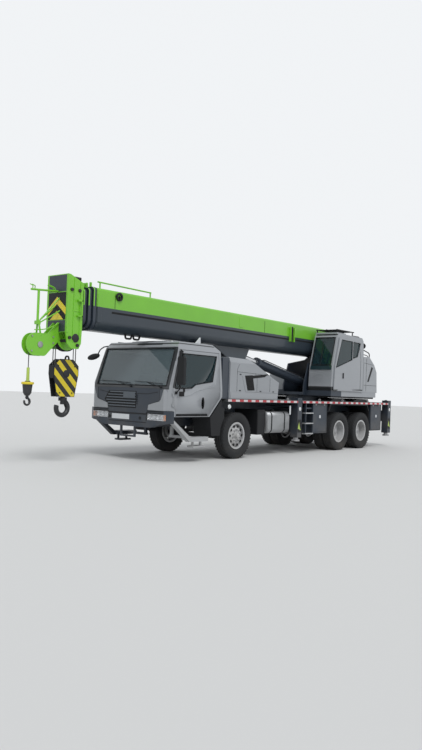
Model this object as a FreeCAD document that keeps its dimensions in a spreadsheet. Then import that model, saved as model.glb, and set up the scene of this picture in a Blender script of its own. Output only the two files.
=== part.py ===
import FreeCAD, Part
import os
import re
import Sketcher

# A three-axle truck crane with its five-section boom stowed forward over the driver's cab.
# Millimetres. X runs forward, Y to the left, Z up. The ground under the middle of the crane is zero.
# Outlines seen from the side give each point as (ahead of the front axle, above the ground).

SIZES = (
    # name, size, what it is
    ("front_axle_x", 1515, "front axle ahead of the crane's middle"),
    ("wheelbase", 4850, "first to second axle"),
    ("bogie_spread", 1350, "second to third axle"),
    ("tail_reach", 8200, "tail of the deck behind the front axle"),
    ("nose_reach", 5170, "tip of the nose sheave's arm ahead of the front axle"),
    ("half_width", 1250, "half of the overall width"),
    ("tyre_radius", 542, "tyre's outer radius, also the height of the axles"),
    ("tyre_width", 295, "tyre's section width"),
    ("bead_radius", 286, "tyre's inner radius on the rim"),
    ("bead_half", 100, "half of the width between the rim's flanges"),
    ("flange_radius", 315, "rim flange"),
    ("flange_width", 12, "thickness of a rim flange"),
    ("barrel_wall", 14, "rim barrel"),
    ("front_wheel_y", 1050, "middle of a front tyre from the centre line"),
    ("outer_twin_y", 1075, "middle of an outer rear tyre"),
    ("inner_twin_y", 755, "middle of an inner rear tyre"),
    ("hand_hole_ring", 225, "radius of the ring of hand holes in a wheel disc"),
    ("hand_hole_radius", 21, "hand hole"),
    ("hub_bore", 45, "bore of a wheel hub"),
    ("drum_radius", 195, "brake drum"),
    ("kingpin_y", 850, "kingpin from the centre line"),
    ("kingpin_radius", 25, "kingpin"),
    ("running_gap", 0.3, "clearance of pins, pads and slides"),
    ("moving_gap", 8, "clearance round doors and moving panels"),
    ("rail_half", 450, "outer face of a frame rail from the centre line"),
    ("rail_inner", 350, "inner face of a frame rail from the centre line"),
    ("frame_bottom", 740, "underside of the frame"),
    ("deck_top", 1400, "top of the deck"),
    ("deck_thick", 70, "thickness of the deck's edge"),
    ("deck_front", 480, "front of the deck ahead of the front axle"),
    ("slew_x", 4950, "slewing centre behind the front axle"),
    ("ring_radius", 640, "slewing ring"),
    ("ring_top", 1500, "top of the fixed part of the slewing ring"),
    ("ring_cover_top", 1490, "top of the raised box behind the slewing ring"),
    ("deck_split", 400, "edge of the deck's middle panels"),
    ("deck_seam", 2, "seam between two deck panels"),
    ("rest_pad_bottom", 2640, "underside of the boom rest's pad"),
    ("rest_gap", 36, "room between the boom rest's pad and the boom"),
    ("front_stand_x", 2720, "front outrigger box behind the front axle"),
    ("rear_stand_x", 7950, "rear outrigger box behind the front axle"),
    ("beam_width", 180, "outrigger beam"),
    ("beam_height", 300, "outrigger beam"),
    ("beam_bottom", 820, "underside of an outrigger beam"),
    ("beam_split", 97, "half of the distance between a pair of beams"),
    ("beam_inner_y", 950, "inner end of a beam, beyond the centre line"),
    ("stand_box_half", 210, "half length of an outrigger box along the crane"),
    ("stand_box_y", 1015, "outer end of an outrigger box"),
    ("stand_box_wall", 25, "wall of an outrigger box"),
    ("column_half", 105, "half width of a jack column"),
    ("column_bottom", 430, "underside of a jack column"),
    ("column_top", 1470, "top of a jack column"),
    ("jack_radius", 62, "jack's rod"),
    ("jack_foot_radius", 104, "jack's foot"),
    ("jack_foot_bottom", 330, "underside of a jack's foot"),
    ("jack_foot_thick", 45, "jack's foot"),
    ("cab_half", 1200, "half width of the driver's cab"),
    ("cab_wall", 50, "wall of the driver's cab"),
    ("cab_rear", 640, "rear wall of the driver's cab ahead of the front axle"),
    ("cab_floor", 990, "underside of the driver's cab"),
    ("cab_roof", 2600, "top of the driver's cab"),
    ("cab_belt", 1600, "height where the cab's sides start to lean in"),
    ("cab_front", 2400, "front wall of the driver's cab"),
    ("screen_foot_z", 1583, "foot of the windscreen"),
    ("screen_top_x", 2104, "top of the windscreen"),
    ("screen_top_z", 2488, "top of the windscreen"),
    ("door_hinge_x", 2312, "driver's door hinges ahead of the front axle"),
    ("door_hinge_y", 1215, "driver's door hinges from the centre line"),
    ("glass_thick", 8, "window glass"),
    ("glass_inset", 15, "window glass behind the panel's face"),
    ("bumper_front", 2440, "face of the front bumper"),
    ("bumper_back", 2285, "back of the front bumper"),
    ("bumper_top", 1107, "top of the front bumper"),
    ("bumper_bottom", 740, "underside of the front bumper"),
    ("bonnet_front", 370, "front of the bonnet ahead of the front axle"),
    ("bonnet_half", 1200, "half width of the bonnet"),
    ("bonnet_wall", 40, "bonnet panel"),
    ("locker_bottom", 520, "underside of the side lockers"),
    ("locker_side", 1200, "face of the side lockers from the centre line"),
    ("boom_width", 620, "base section of the boom"),
    ("boom_top", 3570, "top of the base section"),
    ("boom_bottom", 2707, "underside of the base section"),
    ("boom_front", 3694, "front end of the base section"),
    ("boom_rear", 5900, "rear end of the base section's tube behind the front axle"),
    ("boom_wall", 12, "wall of a boom section"),
    ("boom_step", 34, "each section inside the one before, on every side"),
    ("boom_round", 200, "lower corner radius of the base section"),
    ("boom_top_round", 50, "upper corner radius of the base section"),
    ("collar_length", 70, "collar of a boom section"),
    ("collar_pitch", 100, "from one collar to the next"),
    ("collar_rise", 45, "collar above its section's wall"),
    ("foot_x", 6350, "boom's foot pin behind the front axle"),
    ("foot_z", 2950, "boom's foot pin"),
    ("foot_pin_radius", 60, "boom's foot pin"),
    ("plate_inner", 330, "inner face of a turntable side plate"),
    ("plate_thick", 35, "turntable side plate"),
    ("wing_bottom", 1550, "underside of the frame under the operator's cab"),
    ("table_bottom", 1560, "underside of the turntable's floor"),
    ("table_top", 1640, "top of the turntable's floor"),
    ("luff_x", 5000, "luffing cylinder's base pin behind the front axle"),
    ("luff_z", 1865, "luffing cylinder's base pin"),
    ("luff_pin_radius", 50, "luffing cylinder's base pin"),
    ("luff_barrel_radius", 130, "luffing cylinder"),
    ("luff_barrel_length", 2780, "base pin to the gland"),
    ("luff_rod_radius", 75, "luffing cylinder's rod"),
    ("eye_x", 1510, "rod's eye behind the front axle"),
    ("eye_z", 2530, "rod's eye"),
    ("eye_radius", 105, "rod's eye"),
    ("eye_half", 95, "half width of the rod's eye"),
    ("lug_gap", 6, "clearance between the rod's eye and its lugs"),
    ("lug_thick", 40, "lug under the boom"),
    ("op_cab_inner", 450, "inner side of the operator's cab from the centre line"),
    ("op_cab_outer", 1195, "outer side of the operator's cab"),
    ("op_cab_bottom", 1700, "underside of the operator's cab"),
    ("op_cab_top", 3370, "roof of the operator's cab"),
    ("op_cab_rear", 6230, "rear of the operator's cab behind the front axle"),
    ("op_wall", 40, "wall of the operator's cab"),
    ("op_door_thick", 30, "sliding door"),
    ("winch_half", 300, "half width of a winch drum"),
    ("winch_drum", 230, "winch drum wound with rope"),
    ("winch_flange", 310, "winch flange"),
    ("winch_shaft", 40, "winch shaft"),
    ("main_winch_x", 6880, "main winch behind the front axle"),
    ("aux_winch_x", 6080, "second winch behind the front axle"),
    ("winch_z", 2080, "winch shafts"),
    ("rope_radius", 9, "hoist rope"),
    ("main_sheave_x", 4210, "main sheaves' shaft"),
    ("main_sheave_z", 2500, "main sheaves' shaft"),
    ("main_pitch", 250, "main sheaves, centre to rope"),
    ("fall_y", 36, "falls of the main rope from the centre line"),
    ("block_sheave_z", 1800, "hook block's sheave shaft"),
    ("block_plate_y", 70, "inner face of the hook block's plates"),
    ("block_plate", 14, "hook block's plate"),
    ("aux_sheave_x", 4860, "nose sheave's shaft"),
    ("aux_sheave_z", 2330, "nose sheave's shaft"),
    ("aux_pitch", 190, "nose sheave, centre to rope"),
    ("head_plate_inner", 280, "inner face of the boom head's side plates"),
    ("head_plate", 30, "boom head's side plate"),
    ("head_rear", 4050, "rear of the boom's head"),
    ("head_front", 4440, "front of the boom's head"),
)

doc = FreeCAD.newDocument("TruckCrane")
sheet = doc.addObject("Spreadsheet::Sheet", "Sizes")
for row, (alias, size, note) in enumerate(SIZES, start=1):
    sheet.set(f"A{row}", note)
    sheet.set(f"B{row}", str(size))
    sheet.setAlias(f"B{row}", alias)
doc.recompute()
ALIASES = {alias for alias, size, note in SIZES}
ORIGIN_PLANE = {"xy": "XY_Plane", "xz": "XZ_Plane", "yz": "YZ_Plane"}
ACROSS = {"xy": "z", "xz": "y", "yz": "x"}
nodes = []


def sized(text):
    """The expression with each size's name pointing at its cell."""
    return re.sub(r"[A-Za-z_]\w*",
                  lambda word: f"Sizes.{word[0]}" if word[0] in ALIASES else word[0], str(text))


def bind(thing, prop, text):
    thing.setExpression(prop, sized(text))


def ahead(distance):
    """A place along the crane given from the front axle."""
    return f"front_axle_x + ({distance})"


def side_view(points):
    """Side-view points moved from the front axle to the crane's middle."""
    return [(ahead(x), z) for x, z in points]


def box(x, y, z):
    """A block between its low and high places along each axis."""
    block = doc.addObject("Part::Box", "Block")
    for prop, axis, (low, high) in (("Length", "x", x), ("Width", "y", y), ("Height", "z", z)):
        bind(block, prop, f"({high}) - ({low})")
        bind(block, f"Placement.Base.{axis}", low)
    return block


def cylinder(axis, centre, span, radius):
    """A cylinder along one axis: its centre on the other two, its low and high ends, its radius."""
    turn = {"x": ("0; 1; 0", 90), "y": ("1; 0; 0", -90), "z": ("0; 0; 1", 0)}[axis]
    low, high = span
    first, second = centre
    place = {"x": (low, first, second), "y": (first, low, second), "z": (first, second, low)}[axis]
    bar = doc.addObject("Part::Cylinder", "Bar")
    bind(bar, "Radius", radius)
    bind(bar, "Height", f"({high}) - ({low})")
    base = "; ".join(str(part) for part in place)
    bind(bar, "Placement", f"placement(vector({base}); rotation(vector({turn[0]}); {turn[1]}))")
    return bar


def rod(start, end, radius):
    """A round bar from one point to another."""
    dx, dy, dz = (f"(({b}) - ({a}))" for a, b in zip(start, end))
    reach = f"sqrt({dx}^2 + {dy}^2 + {dz}^2)"
    bar = doc.addObject("Part::Cylinder", "Bar")
    bind(bar, "Radius", radius)
    bind(bar, "Height", reach)
    base = "; ".join(str(part) for part in start)
    bind(bar, "Placement", f"placement(vector({base}); "
         f"rotation(vector(0 - {dy}; {dx}; 0); acos({dz} / {reach})))")
    return bar


def outline(body, plane, points):
    """A closed sketch of straight lines whose corners are tied to the sizes."""
    sketch = body.newObject("Sketcher::SketchObject", "Outline")
    role = ORIGIN_PLANE[plane]
    sketch.AttachmentSupport = [(next(o for o in body.Origin.OriginFeatures if o.Role == role), "")]
    sketch.MapMode = "FlatFace"
    count = len(points)
    for corner in range(count):
        start = FreeCAD.Vector(corner, corner * corner, 0)
        end = FreeCAD.Vector(corner + 1, (corner + 1) ** 2, 0)
        sketch.addGeometry(Part.LineSegment(start, end), False)
    for corner in range(count):
        sketch.addConstraint(Sketcher.Constraint("Coincident", corner, 2, (corner + 1) % count, 1))
    for corner, place in enumerate(points):
        for kind, text in zip(("DistanceX", "DistanceY"), place):
            number = sketch.addConstraint(Sketcher.Constraint(kind, -1, 1, corner, 1, 1.0 + corner))
            bind(sketch, f"Constraints[{number}]", text)
    return sketch


def prism(plane, points, low, high, rounds=()):
    """An outline drawn on a plane and drawn out between two places across it.

    rounds lists (corner numbers, radius) for the long edges that are rounded.
    """
    body = doc.addObject("PartDesign::Body", "Profile")
    sketch = outline(body, plane, points)
    pad = body.newObject("PartDesign::Pad", "Pad")
    pad.Profile = sketch
    bind(pad, "Length", f"({high}) - ({low})")
    bind(body, f"Placement.Base.{ACROSS[plane]}", high if plane == "xz" else low)
    base = pad
    for corners, radius in rounds:
        doc.recompute()
        places = [sketch.getPoint(corner, 1) for corner in corners]
        flat = [sketch.Placement.multVec(place) for place in places]
        names = []
        for number, edge in enumerate(base.Shape.Edges, start=1):
            middle = edge.CenterOfMass
            line = edge.Vertexes[-1].Point - edge.Vertexes[0].Point
            along = {"xy": line.z, "xz": line.y, "yz": line.x}[plane]
            if abs(along) < 0.999 * line.Length or line.Length < 1e-6:
                continue
            for spot in flat:
                gap = middle - spot
                gap = {"xy": (gap.x, gap.y), "xz": (gap.x, gap.z), "yz": (gap.y, gap.z)}[plane]
                if max(abs(gap[0]), abs(gap[1])) < 0.01:
                    names.append(f"Edge{number}")
        fillet = body.newObject("PartDesign::Fillet", "Rounded")
        fillet.Base = (base, names)
        bind(fillet, "Radius", radius)
        base = fillet
    body.Tip = base
    return body


def lathe(axis, points, centre):
    """A turned piece: points are (radius, along the axis), centre is its place in the crane."""
    body = doc.addObject("PartDesign::Body", "Turned")
    if axis == "x":
        sketch = outline(body, "xy", [(along, radius) for radius, along in points])
    else:
        sketch = outline(body, {"y": "xy", "z": "xz"}[axis], points)
    turned = body.newObject("PartDesign::Revolution", "Turned")
    turned.Profile = sketch
    turned.ReferenceAxis = (sketch, ["H_Axis" if axis == "x" else "V_Axis"])
    turned.Angle = 360
    for name, place in zip("xyz", centre):
        bind(body, f"Placement.Base.{name}", place)
    body.Tip = turned
    return body


def fuse(*pieces, merge_faces=True):
    joined = doc.addObject("Part::MultiFuse", "Joined")
    joined.Shapes = list(pieces)
    joined.Refine = merge_faces
    return joined


def common(*pieces):
    shared = doc.addObject("Part::MultiCommon", "Shared")
    shared.Shapes = list(pieces)
    return shared


def cut(base, *tools):
    """The base with each tool taken out of it."""
    for tool in tools:
        less = doc.addObject("Part::Cut", "Less")
        less.Base = base
        less.Tool = tool
        base = less
    return base


def group(*pieces):
    """Like pieces that don't touch, kept as one node."""
    held = doc.addObject("Part::Compound", "Group")
    held.Links = list(pieces)
    return held


def mirrored(piece):
    """The same piece on the other side of the crane."""
    other = doc.addObject("Part::Mirroring", "Mirrored")
    other.Source = piece
    other.Normal = (0, 1, 0)
    other.Base = (0, 0, 0)
    return other


def both_sides(*pieces):
    """Each piece and its mirror image."""
    return [copy for piece in pieces for copy in (piece, mirrored(piece))]


def node(name, piece):
    piece.Label = name
    nodes.append((name, piece))


AXLE = "front_axle_x"
AXLE_2 = "front_axle_x - wheelbase"
AXLE_3 = "front_axle_x - wheelbase - bogie_spread"
SLEW = "front_axle_x - slew_x"
DECK_BOTTOM = "deck_top - deck_thick"


# Frame, outrigger boxes and the fixed part of the slewing ring
def stand_tunnels():
    """The four channels that the outrigger beams slide in."""
    tunnels = []
    for stand in ("front_stand_x", "rear_stand_x"):
        for shift in ("beam_split", "-beam_split"):
            middle = f"front_axle_x - {stand} + ({shift})"
            tunnels.append(box((f"{middle} - beam_width / 2 - 6", f"{middle} + beam_width / 2 + 6"),
                               ("-half_width", "half_width"),
                               ("beam_bottom - running_gap", "beam_bottom + beam_height + 6")))
    return tunnels


def chassis():
    rail = prism("xz", side_view((("bumper_back", 740), ("bumper_back", 960), (620, 960), (440, DECK_BOTTOM),
                                  (-1700, DECK_BOTTOM), (-1700, "frame_bottom"))),
                 "rail_inner", "rail_half")
    main = box((ahead("-tail_reach + 60"), ahead(-1700)), ("-rail_half", "rail_half"),
               ("frame_bottom", DECK_BOTTOM))
    cross_front = box((ahead(2100), ahead(2240)), ("-rail_inner", "rail_inner"), (780, 940))
    cross_rest = box((ahead(440), ahead(560)), ("-rail_inner", "rail_inner"), (1100, DECK_BOTTOM))
    stands = [box((f"front_axle_x - {stand} - stand_box_half", f"front_axle_x - {stand} + stand_box_half"),
                  ("-stand_box_y", "stand_box_y"),
                  ("beam_bottom - stand_box_wall", "beam_bottom + beam_height + stand_box_wall"))
              for stand in ("front_stand_x", "rear_stand_x")]
    ring = cylinder("z", (SLEW, 0), (DECK_BOTTOM, "ring_top"), "ring_radius")
    hangers = [box((ahead(f"{place} - 28"), ahead(f"{place} + 28")), (380, "rail_half"), (600, 760))
               for place in (-640, 640)]
    bogie_seats = [box((f"{AXLE_2} - bogie_spread / 2 - 120", f"{AXLE_2} - bogie_spread / 2 + 120"),
                       (430, 560), ("tyre_radius + 230", "tyre_radius + 340"))]
    frame = fuse(main, cross_front, cross_rest, ring, *stands, *both_sides(rail, *hangers, *bogie_seats))
    node("chassis_frame", cut(frame, *stand_tunnels()))


def boom_rest():
    """Two posts and the pad that the stowed boom lies on."""
    post = box((ahead(465), ahead(535)), (150, 220), (DECK_BOTTOM, "rest_pad_bottom"))
    pad = box((ahead(430), ahead(570)), (-300, 300), ("rest_pad_bottom", "boom_bottom - rest_gap"))
    node("boom_rest", fuse(pad, *both_sides(post)))


def deck():
    """Deck panels seated on the frame's rails, narrower beside the outrigger columns."""
    ring_hole = cylinder("z", (SLEW, 0), (DECK_BOTTOM, "ring_top"), "ring_radius + 5")
    notch = "(column_half + moving_gap)"
    panels = [box((ahead("-slew_x"), ahead(-1560)), ("-deck_split", "deck_split"), (DECK_BOTTOM, "deck_top")),
              box((ahead("-tail_reach"), ahead("-slew_x")), ("-deck_split", "deck_split"),
                  (DECK_BOTTOM, "ring_cover_top"))]
    for side in (1, -1):
        front = f"-front_stand_x + {side} * beam_split"
        rear = f"-rear_stand_x - {side} * beam_split"
        # rear end, front end, outer edge
        for back, fore, edge in ((f"{front} + {notch}", "deck_front", "half_width"),
                                 (f"{front} - {notch}", f"{front} + {notch} - deck_seam", "stand_box_y - 4"),
                                 (f"{rear} + {notch}", f"{front} - {notch} - deck_seam", "half_width"),
                                 ("-tail_reach", f"{rear} + {notch} - deck_seam", "stand_box_y - 4")):
            near = "deck_split + deck_seam"
            across = (near, edge) if side > 0 else (f"-({edge})", f"-({near})")
            panels.append(box((ahead(back), ahead(fore)), across, (DECK_BOTTOM, "deck_top")))
    node("deck_plates", group(*[cut(panel, ring_hole) for panel in panels]))


def engine():
    node("engine_block", box((ahead(-1450), ahead(-150)), ("-rail_inner", "rail_inner"), (620, 1780)))


# Axles with their springs
def axles():
    beam = prism("yz", ((-815, "tyre_radius + 50"), (-815, "tyre_radius - 50"), (-600, "tyre_radius - 110"),
                        (600, "tyre_radius - 110"), (815, "tyre_radius - 50"), (815, "tyre_radius + 50"),
                        (600, "tyre_radius - 10"), (-600, "tyre_radius - 10")),
                 f"{AXLE} - 45", f"{AXLE} + 45")
    eye = cut(cylinder("z", (AXLE, "kingpin_y"), ("tyre_radius - 68", "tyre_radius + 68"), 48),
              cylinder("z", (AXLE, "kingpin_y"), ("tyre_radius - 70", "tyre_radius + 70"),
                       "kingpin_radius + running_gap"))
    leaves = [box((ahead(f"-{half}"), ahead(half)), (385, 445),
                  (f"tyre_radius + {low}", f"tyre_radius + {low + 28}"))
              for half, low in ((280, -10), (450, 18), (612, 46))]
    front = cut(fuse(beam, *both_sides(eye, *leaves)),
                *both_sides(cylinder("z", (AXLE, "kingpin_y"), (400, 700), "kingpin_radius + running_gap")))
    rears = []
    for place in (AXLE_2, AXLE_3):
        tube = cylinder("y", (place, "tyre_radius"), ("-inner_twin_y + 180", "inner_twin_y - 180"), 95)
        case = lathe("y", ((0, -190), (120, -190), (188, -60), (188, 60), (120, 190), (0, 190)),
                     (place, 0, "tyre_radius"))
        spindle = cylinder("y", (place, "tyre_radius"), ("-outer_twin_y + 60", "outer_twin_y - 60"),
                           "hub_bore - running_gap")
        seat = box((f"{place} - 70", f"{place} + 70"), (455, 545), ("tyre_radius - 100", "tyre_radius + 120"))
        rears += [tube, case, spindle, *both_sides(seat)]
    spring = prism("xz", ((f"{AXLE_2} + 160", "tyre_radius + 120"), (f"{AXLE_3} - 160", "tyre_radius + 120"),
                          (f"{AXLE_3} - 160", "tyre_radius + 155"),
                          (f"{AXLE_2} - bogie_spread / 2 - 200", "tyre_radius + 230"),
                          (f"{AXLE_2} - bogie_spread / 2 + 200", "tyre_radius + 230"),
                          (f"{AXLE_2} + 160", "tyre_radius + 155")), 460, 540)
    rear = fuse(*rears, *both_sides(spring))
    shaft = cylinder("x", (0, "tyre_radius + 60"), (f"{AXLE_3} + 150", f"{AXLE_2} - 150"), 48)
    drive = rod((f"{AXLE_2} + 150", 0, "tyre_radius + 60"), (ahead(-1452), 0, 680), 55)
    node("axles", group(front, fuse(rear, shaft, drive)))


def knuckle(side_name):
    arm_low = ("tyre_radius - 130", "tyre_radius - 74")
    arm_high = ("tyre_radius + 74", "tyre_radius + 130")
    arms = [box((f"{AXLE} - 50", f"{AXLE} + 50"), (808, 912), span) for span in (arm_low, arm_high)]
    web = cylinder("y", (AXLE, "tyre_radius"), (904, 917), 135)
    spindle = cylinder("y", (AXLE, "tyre_radius"), (910, "front_wheel_y - 22"), "hub_bore - running_gap")
    pin = cylinder("z", (AXLE, "kingpin_y"), ("tyre_radius - 130", "tyre_radius + 130"), "kingpin_radius")
    steer_arm = box((f"{AXLE} - 230", f"{AXLE} - 40"), (812, 868), ("tyre_radius - 122", "tyre_radius - 84"))
    left = fuse(*arms, web, spindle, pin, steer_arm)
    node(f"knuckle_{side_name}", left if side_name == "left" else mirrored(left))


# Wheels
TYRE = (("bead_radius", "-bead_half"), ("flange_radius + 3", "-bead_half"),
        ("tyre_radius * 0.78", "-tyre_width / 2"), ("tyre_radius", "-tyre_width * 0.41"),
        ("tyre_radius", "tyre_width * 0.41"), ("tyre_radius * 0.78", "tyre_width / 2"),
        ("flange_radius + 3", "bead_half"), ("bead_radius", "bead_half"))


def wheel_points(disc_points):
    """A rim's section: the disc's outer face, the flanges and barrel, then the disc's inner face."""
    outside, inside = disc_points
    lip = "bead_half + flange_width"
    barrel = "bead_radius - barrel_wall"
    return (outside + ((barrel, lip), ("flange_radius", lip), ("flange_radius", "bead_half"),
                       ("bead_radius", "bead_half"), ("bead_radius", "-bead_half"),
                       ("flange_radius", "-bead_half"), ("flange_radius", f"-({lip})"),
                       (barrel, f"-({lip})")) + inside)


# Each disc runs from the hub to the barrel as (radius, outwards from the tyre's middle).
FRONT_DISC = (
    (("hub_bore", 130), (64, 130), (78, 96), (162, 96), ("bead_radius - barrel_wall", 44)),
    (("bead_radius - barrel_wall", 24), ("drum_radius", 62), ("drum_radius", -125), ("hub_bore", -125)),
)
TWIN_DISC = (
    (("hub_bore", -150), (172, -150), (205, -138), ("bead_radius - barrel_wall", -88)),
    (("bead_radius - barrel_wall", -111.5), (198, -159.7), ("hub_bore", -159.7)),
)


def hand_holes(place, along):
    """Ten holes round a wheel disc."""
    spots = [(f"{place} + hand_hole_ring * cos({angle})", f"tyre_radius + hand_hole_ring * sin({angle})")
             for angle in range(0, 360, 36)]
    return [cylinder("y", spot, along, "hand_hole_radius") for spot in spots]


def front_wheels():
    middle = (AXLE, "front_wheel_y", "tyre_radius")
    rubber = lathe("y", TYRE, middle)
    rim = lathe("y", wheel_points(FRONT_DISC), middle)
    cap = lathe("y", ((0, 128), (58, 128), (58, 160), (30, 172), (0, 172)), middle)
    rim = cut(fuse(rim, cap), *hand_holes(AXLE, ("front_wheel_y + 15", "front_wheel_y + 92")))
    for side, pieces in (("left", (rubber, rim)), ("right", (mirrored(rubber), mirrored(rim)))):
        node(f"front_tyre_{side}", pieces[0])
        node(f"front_rim_{side}", pieces[1])


def rear_wheels():
    for number, place in ((2, AXLE_2), (3, AXLE_3)):
        pair = group(*[lathe("y", TYRE, (place, middle, "tyre_radius"))
                       for middle in ("outer_twin_y", "inner_twin_y")])
        outer = lathe("y", wheel_points(TWIN_DISC), (place, "outer_twin_y", "tyre_radius"))
        inside_out = tuple((radius, f"-({along})") for radius, along in wheel_points(TWIN_DISC))
        inner = lathe("y", inside_out, (place, "inner_twin_y", "tyre_radius"))
        axis = (place, "tyre_radius")
        hub = cut(cylinder("y", axis, ("inner_twin_y - 110", "outer_twin_y - 20"), 105),
                  cylinder("y", axis, ("inner_twin_y - 120", "outer_twin_y - 55"), "hub_bore"))
        drum = cut(cylinder("y", axis, ("inner_twin_y - 110", "inner_twin_y + 90"), "drum_radius"),
                   cylinder("y", axis, ("inner_twin_y - 120", "inner_twin_y + 95"), "hub_bore"))
        rim = cut(fuse(outer, inner, hub, drum),
                  *hand_holes(place, ("inner_twin_y + 95", "outer_twin_y - 95")))
        for side, pieces in (("left", (pair, rim)), ("right", (mirrored(pair), mirrored(rim)))):
            node(f"rear_tyres_{number}_{side}", pieces[0])
            node(f"rear_rims_{number}_{side}", pieces[1])


# Outriggers
def outriggers():
    table = (
        # name, outrigger box, side, beam ahead (1) or behind (-1) of its partner
        ("front_left", "front_stand_x", 1, 1), ("front_right", "front_stand_x", -1, -1),
        ("rear_left", "rear_stand_x", 1, -1), ("rear_right", "rear_stand_x", -1, 1),
    )
    for name, stand, side, shift in table:
        middle = f"front_axle_x - {stand} + {shift} * beam_split"
        column_y = "stand_box_y + 12 + column_half"
        beam = box((f"{middle} - beam_width / 2", f"{middle} + beam_width / 2"),
                   ("-beam_inner_y", column_y), ("beam_bottom", "beam_bottom + beam_height"))
        column = box((f"{middle} - column_half", f"{middle} + column_half"),
                     ("stand_box_y + 12", "stand_box_y + 12 + 2 * column_half"),
                     ("column_bottom", "column_top"))
        bore = cylinder("z", (middle, column_y), ("column_bottom - 10", "column_top - 60"),
                        "jack_radius + running_gap")
        left = cut(fuse(beam, column), bore)
        leg = fuse(cylinder("z", (middle, column_y), ("jack_foot_bottom + 20", "column_top - 90"),
                            "jack_radius"),
                   cylinder("z", (middle, column_y),
                            ("jack_foot_bottom", "jack_foot_bottom + jack_foot_thick"),
                            "jack_foot_radius"))
        node(f"stand_beam_{name}", left if side > 0 else mirrored(left))
        node(f"stand_jack_{name}", leg if side > 0 else mirrored(leg))


# Driver's cab
def cab_blank(inset):
    """The cab's outer form, or its inside when it is inset by the wall."""
    side = prism("xz", side_view(((f"2265 - {inset}", f"cab_floor + {inset}"),
                                  (f"2265 - {inset}", f"1112 + {inset}"),
                                  (f"cab_front - {inset}", f"1112 + {inset}"),
                                  (f"cab_front - 10 - {inset}", "screen_foot_z"),
                                  (f"screen_top_x - {inset}", "screen_top_z"),
                                  (f"2010 - {inset} / 2", f"cab_roof - {inset}"),
                                  (900, f"cab_roof - {inset}"),
                                  (f"cab_rear + 20 + {inset}", f"2470 - {inset} / 2"),
                                  (f"cab_rear + {inset}", f"1440 + {inset} / 2"),
                                  (f"1070 + {inset} / 2", f"cab_floor + {inset}"))),
                 "-cab_half", "cab_half")
    front = prism("yz", [(f"{sign} * ({y} - {inset})", z)
                         for sign, rows in (
                             (-1, ((1200, 900), (1200, "cab_belt"), (1130, 2440), (1040, 2700))),
                             (1, ((1040, 2700), (1130, 2440), (1200, "cab_belt"), (1200, 900))))
                         for y, z in rows],
                  ahead(500), ahead(2500))
    plan = prism("xy", [(ahead(f"{x} - {inset}"), f"{sign} * ({y} - {inset})")
                        for sign, rows in ((-1, ((500, 1210), (2350, 1210), (2430, 1090))),
                                           (1, ((2430, 1090), (2350, 1210), (500, 1210))))
                        for x, y in rows], 900, 2700)
    return common(side, front, plan)


DOOR_HOLE = ((2200, 1002), (2200, 1130), (2290, 1200), (2290, 1580), (2060, 2425), (730, 2425), (710, 1420),
             (1105, 1002))
DOOR = ((2192, 1010), (2192, 1133), (2282, 1204), (2282, 1578), (2054, 2417), (742, 2417), (722, 1423),
        (1108, 1010))
DOOR_WINDOW = ((2235, 1590), (2038, 2345), (815, 2345), (985, 1770), (1560, 1690), (1700, 1612))
SCREEN = ((-1075, 1640), (1075, 1640), (1055, 2440), (-1055, 2440))


def driver_cab():
    blank = cab_blank("0")
    walls = cut(blank, cab_blank("cab_wall"))
    screen_hole = prism("yz", SCREEN, ahead(1900), ahead(2500))
    door_hole = prism("xz", side_view(DOOR_HOLE), 1065, 1260)
    door_blank = prism("xz", side_view(DOOR), 1065, 1270)
    window_hole = prism("xz", side_view(DOOR_WINDOW), 1040, 1280)
    corner = prism("yz", ((615, 1112), (630, 1220), (970, 1310), (970, 1560), (1095, 1560), (1200, 1400),
                          (1200, 1112)), ahead(2300), ahead(2445))
    corner = common(corner, prism("xy", ((ahead(2290), 600), (ahead(2445), 600), (ahead(2445), 1080),
                                         (ahead(2340), 1200), (ahead(2290), 1200)), 1100, 1600))
    shell = cut(fuse(cut(walls, screen_hole), *both_sides(cut(corner, cab_blank("cab_wall")))),
                *both_sides(door_hole))
    node("cab_shell", shell)

    leaf = cut(common(walls, door_blank), window_hole)
    lean = "(1200 - 1130) / (2440 - cab_belt)"
    strip = prism("yz", ((f"1200 - glass_inset - ({lean}) * (1560 - cab_belt)", 1560),
                         (f"1200 - glass_inset - ({lean}) * (2360 - cab_belt)", 2360),
                         (f"1200 - glass_inset - glass_thick - ({lean}) * (2360 - cab_belt)", 2360),
                         (f"1200 - glass_inset - glass_thick - ({lean}) * (1560 - cab_belt)", 1560)),
                  ahead(700), ahead(2350))
    pane = common(strip, prism("xz", side_view(DOOR_WINDOW), 1040, 1280))
    hinges = []
    for low in (1200, 1420):
        hinges += [box((ahead(2250), ahead(2276)), (1190, 1212), (low, low + 70)),
                   box((ahead(2270), ahead("door_hinge_x")), (1203, 1212), (low, low + 70)),
                   cylinder("z", (ahead("door_hinge_x"), "door_hinge_y"), (low, low + 70), 12)]
    door = group(fuse(leaf, *hinges), pane)
    node("cab_door_left", door)
    node("cab_door_right", mirrored(door))

    slope = "(cab_front - 10 - screen_top_x) / (screen_top_z - screen_foot_z)"
    face = [f"cab_front - 10 - glass_inset - ({slope}) * ({z} - screen_foot_z)" for z in (1640, 2440)]
    pane = prism("xz", side_view(((face[0], 1640), (face[1], 2440), (f"{face[1]} - glass_thick", 2440),
                                  (f"{face[0]} - glass_thick", 1640))), -1080, 1080)
    node("cab_windscreen", common(pane, prism("yz", SCREEN, ahead(1900), ahead(2500))))


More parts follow.
